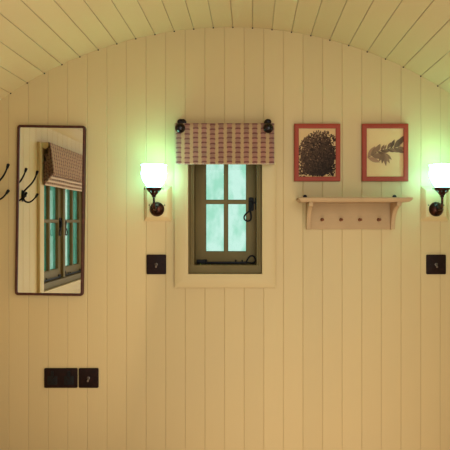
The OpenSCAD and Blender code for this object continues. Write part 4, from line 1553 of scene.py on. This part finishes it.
# %% Lamp sizes
lamp_rose_r, lamp_rose_t = 0.032, 0.025
lamp_arm_r = 0.006
gallery_r, gallery_h = 0.032, 0.036
gallery_rim_up = 0.090
shade_seat = 0.008
shade_boxes = solids_of("lamp_shades")
lamp_reach = face_y - (shade_boxes[0][0].y + shade_boxes[0][1].y) / 2


# %% Wall lamps
def lamp_places():
    """The centre of each rose on its block's face, in the end wall's directions."""
    places = []
    for block_box, rose_box in zip(solids_of("lamp_blocks"), solids_of("lamp_fittings")):
        block_low, block_high = on_wall(block_box, end_wall)
        rose_low = on_wall(rose_box, end_wall)[0]
        places.append(Vector(((block_low.x + block_high.x) / 2, block_low.y, rose_low.z + lamp_rose_r)))
    return places


def pierced_gallery(bm, place, foot, rim):
    """A cone of sheet bronze with a ring of holes under its rim."""
    sides = 24
    part = bmesh.new()
    hole_low, hole_high, hole_corner, band = 0.0165, 0.0225, 0.0014, 0.008
    foot_r, neck_r, neck_h, bronze_t = 0.0075, 0.0092, 0.004, 0.0014
    slope = (gallery_r - neck_r) / (gallery_h - band - neck_h)
    rows = [(foot_r, 0), (neck_r, neck_h)]
    rows += [(neck_r + (h - neck_h) * slope, h) for h in (hole_low, hole_high, gallery_h - band)]
    turned(part, rows + [(gallery_r, gallery_h)], (place.x, place.y, foot), upwards, sides)
    pierced = []
    for face in part.faces:
        middle = face.calc_center_median()
        if foot + hole_low < middle.z < foot + hole_high:
            turn = math.atan2(middle.y - place.y, middle.x - place.x) / math.tau * sides
            if round(turn - 0.5) % 3 == 1:
                pierced.append(face)
    bmesh.ops.inset_individual(part, faces=pierced, thickness=0.0003, depth=0)
    corners = list({vert for face in pierced for vert in face.verts})
    bevel(part, corners, hole_corner, 2, affect="VERTICES")
    holes = [f for f in part.faces if len(f.verts) > 8]
    bmesh.ops.delete(part, geom=holes, context="FACES")
    bmesh.ops.recalc_face_normals(part, faces=part.faces)
    bmesh.ops.solidify(part, geom=part.faces[:], thickness=bronze_t)
    join(bm, part)
    inside, outside, half = gallery_r * 0.955, gallery_r + 0.0012, 0.0008
    bead = [(inside, -half), (outside, -half), (outside, half), (inside, half), (inside, -half)]
    turned(bm, bead, (place.x, place.y, rim), upwards, 48)


def domed_rose(bm, place):
    """A dome on a thin flange, with a collar for the arm and a small stud at each side."""
    dome_r = (lamp_rose_r ** 2 + lamp_rose_t ** 2) / (2 * lamp_rose_t)
    start = math.asin(lamp_rose_r / dome_r)
    angles = [start * step / 12 for step in range(11, -1, -1)]
    flange = [(0, -0.0002), (lamp_rose_r, 0.0), (lamp_rose_r, 0.0022)]
    dome = [(dome_r * math.sin(angle), lamp_rose_t - dome_r + dome_r * math.cos(angle)) for angle in angles]
    turned(bm, flange + dome, place, to_room, 48)
    collar = [(lamp_arm_r, 0.0), (0.0105, 0.001), (0.0105, 0.003), (0.0075, 0.0045), (lamp_arm_r, 0.006)]
    turned(bm, collar, (place.x, place.y - lamp_rose_t + 0.001, place.z), to_room)
    stud = [(0.0028, 0), (0.0028, 0.003), (0.0015, 0.0045), (0, 0.0045)]
    for side in (-1, 1):
        turned(bm, stud, place + Vector((side * (lamp_rose_r + 0.0015), 0, 0.018)), to_room, 12)


def wall_lamp(bm, place):
    """A domed rose, an arm bent up from it, and the gallery that grips the glass."""
    domed_rose(bm, place)
    axis_y = -lamp_reach
    rim = place.z + gallery_rim_up
    foot = rim - gallery_h
    bend = 0.020
    bent = ((place.y - lamp_rose_t * 0.6, place.z), (axis_y + bend * 1.6, place.z - 0.002),
            (axis_y + bend * 0.5, place.z), (axis_y, place.z + bend * 0.6), (axis_y, place.z + bend * 1.5),
            (axis_y, foot + 0.004))
    arm = [(place.x, y, z) for y, z in bent]
    rod(bm, arm, [lamp_arm_r * share for share in (1, 1, 1, 0.95, 0.85, 0.85)], sides=4)
    under = [(lamp_arm_r * 0.8, -0.006), (0.0085, -0.004), (0.0085, -0.001), (0.0065, 0.001), (0.0095, 0.003)]
    axis = Vector((place.x, axis_y, foot))
    turned(bm, under, axis, upwards)
    pierced_gallery(bm, axis, foot, rim)
    top = gallery_h + 0.0075
    holder = [(0, 0.004), (0.012, 0.004), (0.012, gallery_h), (0.0105, top), (0, top)]
    turned(bm, holder, axis, upwards)
    screw = [(0, -0.001), (0.0012, -0.001), (0.0012, 0.005), (0.0028, 0.0055), (0.003, 0.0085),
             (0.0024, 0.0096), (0, 0.010)]
    for turn in (0, 90, 180, 270):
        way = Vector((math.cos(math.radians(turn)), math.sin(math.radians(turn)), 0))
        turned(bm, screw, Vector((place.x, axis_y, rim - shade_seat * 0.6)) + way * gallery_r, way, 12)


def wall_lamps():
    bm = bmesh.new()
    for place in lamp_places():
        wall_lamp(bm, place)
    put("lamps_turned", bm, bronze, ["lamp_fittings"], place=end_wall)


wall_lamps()


# %% Lit glass
def lit_glass(name, colour, glow, strength):
    """Frosted glass with a lamp inside, a little uneven."""
    finish = Finish(name, roughness=0.35)
    finish.set("Base Color", colour)
    cloud = finish.cloud(40.0, 2.0)
    finish.set("Emission Color", finish.dim(glow, 0.94 + cloud * 0.12))
    finish.set("Emission Strength", strength)
    finish.bump(cloud, 0.0002)
    return finish


refinish("lamp_shades", lit_glass("shade_glass", paint(250, 247, 232), (0.24, 1.0, 0.95), 13.0))
refinish("lamp_bulbs", lit_glass("bulb_glass", paint(255, 246, 220), (0.7, 1.0, 0.7), 9.0))

# %% [markdown]
# ## Switches and sockets
#
# Dark bronze plates with rounded corners. Each has a bevelled edge, two screws and, on the
# switches, a small steel toggle in a collar. The double socket has two outlets with a rocker each.

# %% Plates
plate_t = 0.006
toggle_way = (0, -1, -0.9)
dark_plate = iron_finish("dark_plate", paint(28, 14, 9), paint(42, 22, 15), 0.5, 0.0, 900.0, 0.00008, 0.1)
toggle_steel = iron_finish(
    "toggle_steel", paint(112, 96, 84), paint(160, 144, 130), 0.4, 0.5, 900.0, 0.00005)
outlet_black = iron_finish(
    "outlet_black", paint(14, 12, 11), paint(22, 20, 18), 0.45, 0.0, 900.0, 0.00005, 0.2)


def plate(bm, low, high, corner=0.005):
    """A plate with round corners and a bevelled front."""
    part = rounded_block(low, high, corner, 6)
    front = [e for e in part.edges if all(abs(v.co.y - low[1]) < 0.0001 for v in e.verts)]
    bevel(part, front, min(0.0018, corner / 3), 3)
    join(bm, part)


def plates(node, name, detail):
    """Makes the plates of a node, and returns the parts on them that have their own finish."""
    bm = bmesh.new()
    small = bmesh.new()
    for box in solids_of(node):
        low, high = on_wall(box, end_wall)
        plate(bm, (low.x, -plate_t, low.z), (high.x, 0, high.z))
        detail(bm, small, Vector(((low.x + high.x) / 2, -plate_t, (low.z + high.z) / 2)))
    put(name, bm, dark_plate, [node], place=end_wall)
    return small


plate_screw_x, plate_screw_r = 0.0302, 0.0032
socket_low, socket_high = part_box("power_sockets")
outlet_x = (socket_high.x - socket_low.x) / 4
rocker_up = 0.02175


def toggle_detail(bm, small, centre):
    """A collar, a toggle that points down, and two screws."""
    collar = [(0, 0), (0.0068, 0), (0.0068, 0.0012), (0.0058, 0.002), (0.0045, 0.0022)]
    lever = [(0.0022, -0.001), (0.0027, 0.006), (0.0042, 0.0145), (0.0040, 0.0168), (0.0024, 0.0184),
             (0, 0.0188)]
    turned(small, collar, centre, to_room, 24)
    turned(small, lever, centre, toggle_way, 20)
    for side in (-1, 1):
        slotted_screw(bm, centre + Vector((side * plate_screw_x, 0, 0)), plate_screw_r)


def outlet_detail(bm, small, centre):
    """Two outlets with three slots each, and a rocker over each outlet."""
    slots = ((0, 0.000, 0.004, 0.008), (-0.011, -0.019, 0.007, 0.004), (0.011, -0.019, 0.007, 0.004))
    for side in (-1, 1):
        middle = centre + Vector((side * outlet_x, 0, 0))
        outlet_low, outlet_high = Vector((-0.022, -0.0006, -0.030)), Vector((0.022, 0, 0.010))
        plate(small, middle + outlet_low, middle + outlet_high, 0.003)
        rocker = middle + Vector((0, 0, rocker_up))
        block(small, rocker + Vector((-0.006, -0.003, -0.010)), rocker + Vector((0.006, 0, 0.010)))
        for slot_x, slot_z, slot_w, slot_h in slots:
            slot = middle + Vector((slot_x, -0.0004, slot_z))
            half = Vector((slot_w / 2, 0, slot_h / 2))
            block(bm, slot - half - Vector((0, 0.0005, 0)), slot + half)
        slotted_screw(bm, centre + Vector((side * plate_screw_x, 0, 0.004)), plate_screw_r)


for node, plates_name, detail, details_name, finish in (
        ("light_switches", "switch_plates", toggle_detail, "switch_toggles", toggle_steel),
        ("power_sockets", "socket_plates", outlet_detail, "socket_outlets", outlet_black)):
    put(details_name, plates(node, plates_name, detail), finish, place=end_wall)

# %% [markdown]
# ## Peg shelf
#
# A small painted shelf: a board with a moulded edge on two hollowed brackets, a back rail with
# four stained pegs, and two iron tabs that hang it. Chalky paint is matt and shows the brush.

# %% Shelf paint and stain
shelf_colour = paint(180, 148, 108)
shelf_hollow, shelf_arris = 0.011, 0.003


def chalk_paint(name, colour, along):
    finish = Finish(name, roughness=0.75, Specular_IOR_Level=0.25)
    marks = finish.streaks(along, 420.0, 10.0)
    cloud = finish.cloud(12.0)
    tone = finish.mix(cloud.ease(0.4, 0.75) * 0.5, colour, tuple(c * 0.86 for c in colour))
    finish.coat(finish.dim(tone, 0.94 + marks * 0.1), 0.68 + marks * 0.2, marks, 0.0004)
    return finish


shelf_paint = chalk_paint("shelf_paint", shelf_colour, 0)
bracket_paint = chalk_paint("bracket_paint", shelf_colour, 2)
peg_stain = timber("peg_stain", paint(138, 78, 38), paint(84, 44, 22), 1, 0.45, 400.0, 0.0002)


# %% Shelf board and brackets
def front_edges(bm, z, back_y):
    """The edges of a board at height z, round its front and its two ends."""
    level = [e for e in bm.edges if all(abs(v.co.z - z) < 0.0005 for v in e.verts)]
    return [e for e in level if any(v.co.y < back_y - 0.01 for v in e.verts)]


def shelf():
    low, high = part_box("shelf_board")
    bm = bmesh.new()
    block(bm, low, high)
    bevel(bm, front_edges(bm, low.z, high.y), shelf_hollow, 6, profile=0.25)
    bevel(bm, front_edges(bm, high.z, high.y), shelf_arris, 3)
    put("shelf_moulded", bm, shelf_paint, ["shelf_board"])
    bm = copy_of("shelf_brackets", 0.3)
    soften(bm, 0.0015)
    put("brackets_hollowed", bm, bracket_paint, ["shelf_brackets"])


shelf()

# %% Rail and pegs
peg_rail_t = 0.012
peg_r = 0.0058
peg_count, peg_spacing, peg_up = 4, 0.083, 0.042


def rail_and_pegs():
    low, high = on_wall(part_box("peg_rail"), end_wall)
    bm = bmesh.new()
    block(bm, (low.x, -peg_rail_t, low.z), (high.x, 0, high.z))
    soften(bm, 0.002)
    put("peg_rail_planed", bm, shelf_paint, ["peg_rail"], place=end_wall)
    pegs = bmesh.new()
    neck = -low.y - peg_rail_t - peg_r
    foot = [(0, -0.002), (0.0072, -0.002), (0.0072, 0.001), (0.0045, 0.0035), (0.0034, neck * 0.55),
            (0.004, neck - 0.004)]
    angles = [math.radians(angle) for angle in range(40, 181, 20)]
    head = [(peg_r * math.sin(angle), neck - peg_r * math.cos(angle)) for angle in angles]
    for number in range(peg_count):
        x = (low.x + high.x) / 2 + (number - (peg_count - 1) / 2) * peg_spacing
        turned(pegs, foot + head, (x, -peg_rail_t, low.z + peg_up), to_room, 24)
    put("pegs_turned", pegs, peg_stain, place=end_wall)


rail_and_pegs()


# %% Hanging tabs
def tabs():
    bm = copy_of("shelf_hangers", 0.5)
    soften(bm, 0.0006, segments=1)
    for low, high in solids_of("shelf_hangers"):
        slotted_screw(bm, Vector(((low.x + high.x) / 2, low.y, high.z - (high.x - low.x) / 2)))
    put("hanging_tabs", bm, black_iron, ["shelf_hangers"])


tabs()

# %% [markdown]
# ## Mirror and pictures
#
# The mirror has a thin frame of aged copper with round corners and hangs a little out of plumb.
# The picture frames are mitred from red brown moulding. Their prints are plain botanical ones,
# a dark leafy bush and a sepia sprig, and each leaf is a small flat shape laid on the paper.

# %% Mirror
mirror_w, mirror_h, mirror_rim, mirror_t = 0.300, 0.750, 0.011, 0.022
outer_corner, inner_corner = 0.013, 0.005
mirror_lean = math.radians(0.84)
copper = iron_finish("aged_copper", paint(68, 36, 24), paint(96, 52, 36), 0.45, 0.3, 300.0, 0.00012, 0.3)


def rounded_rectangle(bm, half_w, half_h, corner):
    """A closed loop of edges round a rectangle with round corners, on a plane across Y."""
    verts = []
    steps = 6
    for quarter in range(4):
        sign_x = 1 if quarter in (0, 3) else -1
        sign_z = 1 if quarter in (0, 1) else -1
        for step in range(steps + 1):
            angle = math.pi / 2 * (quarter + step / steps)
            x = sign_x * (half_w - corner) + corner * math.cos(angle)
            z = sign_z * (half_h - corner) + corner * math.sin(angle)
            verts.append(bm.verts.new((x, 0, z)))
    return [bm.edges.new(pair) for pair in zip(verts, verts[1:] + verts[:1])]


def mirror_frame():
    low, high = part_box("mirror_frame")
    centre = Vector(((low.x + high.x) / 2, face_y, (low.z + high.z) / 2))
    bm = bmesh.new()
    outer = rounded_rectangle(bm, mirror_w / 2, mirror_h / 2, outer_corner)
    inner = rounded_rectangle(bm, mirror_w / 2 - mirror_rim, mirror_h / 2 - mirror_rim, inner_corner)
    bmesh.ops.bridge_loops(bm, edges=outer + inner)
    made = bmesh.ops.extrude_face_region(bm, geom=bm.faces[:], use_keep_orig=True)
    front = [g for g in made["geom"] if isinstance(g, bmesh.types.BMVert)]
    bmesh.ops.translate(bm, verts=front, vec=(0, -mirror_t, 0))
    bmesh.ops.recalc_face_normals(bm, faces=bm.faces)
    soften(bm, 0.0025, segments=3, sharper_than=60)
    hang = Matrix.Translation(centre) @ Matrix.Rotation(mirror_lean, 4, "Y")
    put("mirror_rim", bm, copper, ["mirror_frame"], place=hang)


def silvered():
    finish = Finish("silvered_glass", roughness=0.015, Metallic=1.0)
    wave = finish.streaks(2, 7.0, 5.0, 1.0)
    finish.set("Base Color", finish.mix(wave, paint(236, 236, 226), paint(226, 228, 218)))
    return finish


mirror_frame()
refinish("mirror_glass", silvered())

# %% Picture frames
picture_rim = 0.020
frame_stain = timber("frame_stain", paint(164, 66, 44), paint(120, 44, 28), 2, 0.5, 260.0, 0.0003, 0.2)


def picture_frames():
    bm = bmesh.new()
    for low, high in solids_of("picture_frames"):
        mitred_ring(bm, low, high, picture_rim, 0, 0.002, 3)
    put("frames_mitred", bm, frame_stain, ["picture_frames"])


picture_frames()


# %% Paper and ink
def paper():
    finish = Finish("print_paper", roughness=0.8, Specular_IOR_Level=0.2)
    fibre = finish.cloud(500.0, 2.0)
    cloud = finish.cloud(16.0)
    tone = finish.mix(cloud * 0.7 + fibre * 0.3, paint(214, 178, 126), paint(196, 158, 108))
    finish.set("Base Color", tone)
    finish.bump(fibre, 0.0001)
    return finish


def sepia():
    """Brown ink, from dark to pale by each leaf's own tone, with fine veins."""
    finish = Finish("sepia_ink", roughness=0.8, Specular_IOR_Level=0.2)
    tone = finish.add("ShaderNodeAttribute", {"attribute_name": "tone"}, output="Fac")
    vein = finish.cloud(700.0, 2.0)
    share = tone + (vein - 0.5) * 0.2
    finish.set("Base Color", finish.mix(share, paint(34, 24, 20), paint(176, 130, 96)))
    return finish


refinish("picture_prints", paper())
sepia_ink = sepia()


# %% Leaves
def leaf(bm, tone_layer, root, angle, length, width, tone, y, steps=6):
    """A flat leaf with pointed ends, growing from its root at an angle from upright."""
    shares = [step / steps for step in range(steps + 1)]
    side = [(width / 2 * math.sin(math.pi * share), length * share) for share in shares]
    outline = side + [(-x, z) for x, z in side[-2:0:-1]]
    turn = Matrix.Rotation(angle, 3, "Y")
    points = [Vector((root[0], y, root[1])) + turn @ Vector((x, 0, z)) for x, z in outline]
    face = bm.faces.new([bm.verts.new(point) for point in points])
    face[tone_layer] = min(1.0, max(0.0, tone))


bush_masses, bush_leaves = 9, 1300
sprig_pairs, sprig_tuft = 10, 5
layer_gap = 0.00002


def bush(bm, tone_layer, middle, half_w, half_h, front, chance):
    """A dense round bush over most of a print: dark round masses under many small leaves."""
    def crown(across):
        return 0.88 * math.sqrt(max(0.0, 1 - (across * 0.80 - 0.16) ** 2))

    for number in range(bush_masses):
        across = 0.1 + 0.8 * math.sin(number * 2.4)
        root = (middle.x + across * half_w * 0.35, middle.z - half_h)
        reach = half_h * (1 + crown(across * 0.5)) * chance.uniform(0.9, 0.98)
        depth = front - 0.0002 - layer_gap * number
        leaf(bm, tone_layer, root, across * 0.12, reach, half_w * 1.1, 0.02, depth, 16)
    for number in range(bush_leaves):
        across = chance.uniform(-1, 1)
        up = chance.uniform(-1, crown(across))
        root = (middle.x + across * half_w * 0.94, middle.z + up * half_h * 0.97)
        speck = chance.random() < 0.12 + 0.24 * up - 0.1 * across
        tone = 0.05 + 0.14 * (up - across) / 2 + chance.uniform(0.0, 0.13) + (0.6 if speck else 0.0)
        depth = front - 0.0005 - layer_gap * (number % 40)
        length = chance.uniform(0.005, 0.008) if speck else chance.uniform(0.009, 0.015)
        angle = chance.uniform(-1.4, 1.4) + across * 0.6
        leaf(bm, tone_layer, root, angle, length, length * 0.45, tone, depth)


def sprig(bm, tone_layer, middle, half_w, half_h, front, chance):
    """A twig that crosses a print upwards, with pairs of slender leaves and a drooping tuft."""
    for number in range(sprig_pairs):
        share = number / (sprig_pairs - 1)
        x = middle.x + half_w * (1.6 * share - 0.95)
        z = middle.z + half_h * (0.50 * share - 0.20) + 0.006 * math.sin(5 * share)
        leaf(bm, tone_layer, (x, z), 1.2, half_w * 0.26, 0.0028, 0.1, front - 0.0002)
        for side in (-1, 1):
            spread = 1.2 + side * chance.uniform(0.5, 0.8)
            length = 0.046 + 0.016 * math.cos(math.tau * share) + chance.uniform(-0.004, 0.004)
            length = min(length, (middle.x + half_w + 0.012 - x) / math.sin(min(spread, 1.5)))
            tone = 0.42 - 0.2 * share + chance.uniform(-0.15, 0.35)
            depth = front - 0.0004 - 0.00003 * (2 * number + side)
            leaf(bm, tone_layer, (x, z), spread, length, length * 0.34, tone, depth)
    for number in range(sprig_tuft):
        droop = 3.0 + (number - 2) * 0.34
        length = 0.060 - 0.006 * abs(number - 2) + chance.uniform(-0.004, 0.004)
        tone = chance.uniform(0.3, 0.7)
        depth = front - 0.0017 - 0.00003 * number
        leaf(bm, tone_layer, (middle.x - 0.004, middle.z), droop, length, 0.014, tone, depth)


def prints():
    bm = bmesh.new()
    tone_layer = bm.faces.layers.float.new("tone")
    chance = random.Random(7)
    for drawing, (low, high) in zip((bush, sprig), solids_of("picture_prints")):
        size = high - low
        drawing(bm, tone_layer, (low + high) / 2, size.x / 2, size.z / 2, low.y, chance)
    put("print_leaves", bm, sepia_ink, flip=False)


prints()

# %% [markdown]
# ## Coat hooks
#
# Three double hooks of black iron on the left wall. A long arm sweeps up from a flower boss,
# a short one curls down and out, and both end in a ribbed acorn.

# %% Hooks
hook_arm_r = 0.0041
hook_tip_up = 0.119
hook_plate_w, hook_plate_t, hook_plate_h = 0.020, 0.004, 0.058
long_arm = [
    (0.03, 0.05, 1.3), (0.07, 0.14, 1.2), (0.21, 0.26, 1.1), (0.45, 0.40, 1.05), (0.67, 0.54, 1.0),
    (0.83, 0.71, 0.95), (0.93, 0.86, 0.9), (1, 1, 0.85)]
short_arm = [
    (0.05, -0.04, 1.2), (0.09, -0.14, 1.15), (0.18, -0.23, 1.1), (0.36, -0.28, 1.05), (0.60, -0.25, 1.0),
    (0.83, -0.11, 0.9), (1, 0.05, 0.85)]


def acorn(bm, tip, way):
    """A ribbed knob at the end of an arm that points a way."""
    rings = [(0.0036, -0.016), (0.0060, -0.013), (0.0048, -0.010), (0.0068, -0.007), (0.0058, -0.004),
             (0.0070, -0.001), (0.0062, 0.004), (0.0036, 0.0065), (0, 0.0074)]
    turned(bm, rings, tip, way, 20)


def flower(bm, centre):
    """A boss with round petals, flat on a plate, and a knob in its middle."""
    petals, ring_r = 6, 0.0105
    petal = [(0.0056, 0), (0.0052, 0.004), (0.003, 0.0066), (0, 0.0074)]
    knob = [(0.009, 0), (0.009, 0.006), (0.0070, 0.012), (0.0045, 0.017), (0, 0.019)]
    for number in range(petals):
        angle = math.tau * number / petals
        spot = centre + Vector((ring_r * math.sin(angle), 0, ring_r * math.cos(angle)))
        turned(bm, petal, spot, to_room, 12)
    turned(bm, knob, centre, to_room, 20)


def hook_arm(bm, root, reach, shape):
    """An arm that ends in an acorn. Each point of its shape is (out, up, thickness)."""
    path = [root + Vector((0, -reach * out, hook_tip_up * up)) for out, up, _ in shape]
    rod(bm, path, [hook_arm_r * share for _, _, share in shape], sides=4)
    acorn(bm, path[-1], path[-1] - path[-2])


def coat_hook(bm, low, high):
    """One hook in the box of its CAD solid, in the directions of its wall."""
    x = (low.x + high.x) / 2
    reach = -low.y - 0.007
    ball_r = 0.007
    tip_z = high.z - ball_r
    plate_z = tip_z - hook_tip_up
    plate_low = (x - hook_plate_w / 2, -hook_plate_t, plate_z - hook_plate_h / 2)
    plate_high = (x + hook_plate_w / 2, 0, plate_z + hook_plate_h / 2)
    part = rounded_block(plate_low, plate_high, 0.009, 5)
    soften(part, 0.0008)
    join(bm, part)
    flower(bm, Vector((x, -hook_plate_t, plate_z)))
    for shape in (long_arm, short_arm):
        hook_arm(bm, Vector((x, 0, plate_z)), reach, shape)
    for side in (-1, 1):
        spot = (x, -hook_plate_t, plate_z + side * hook_plate_h * 0.38)
        slotted_screw(bm, spot, plate_screw_r)


def coat_hooks():
    bm = bmesh.new()
    for box in solids_of("coat_hooks", 1):
        coat_hook(bm, *on_wall(box, left_wall))
    put("hooks_forged", bm, black_iron, ["coat_hooks"], place=left_wall)


coat_hooks()
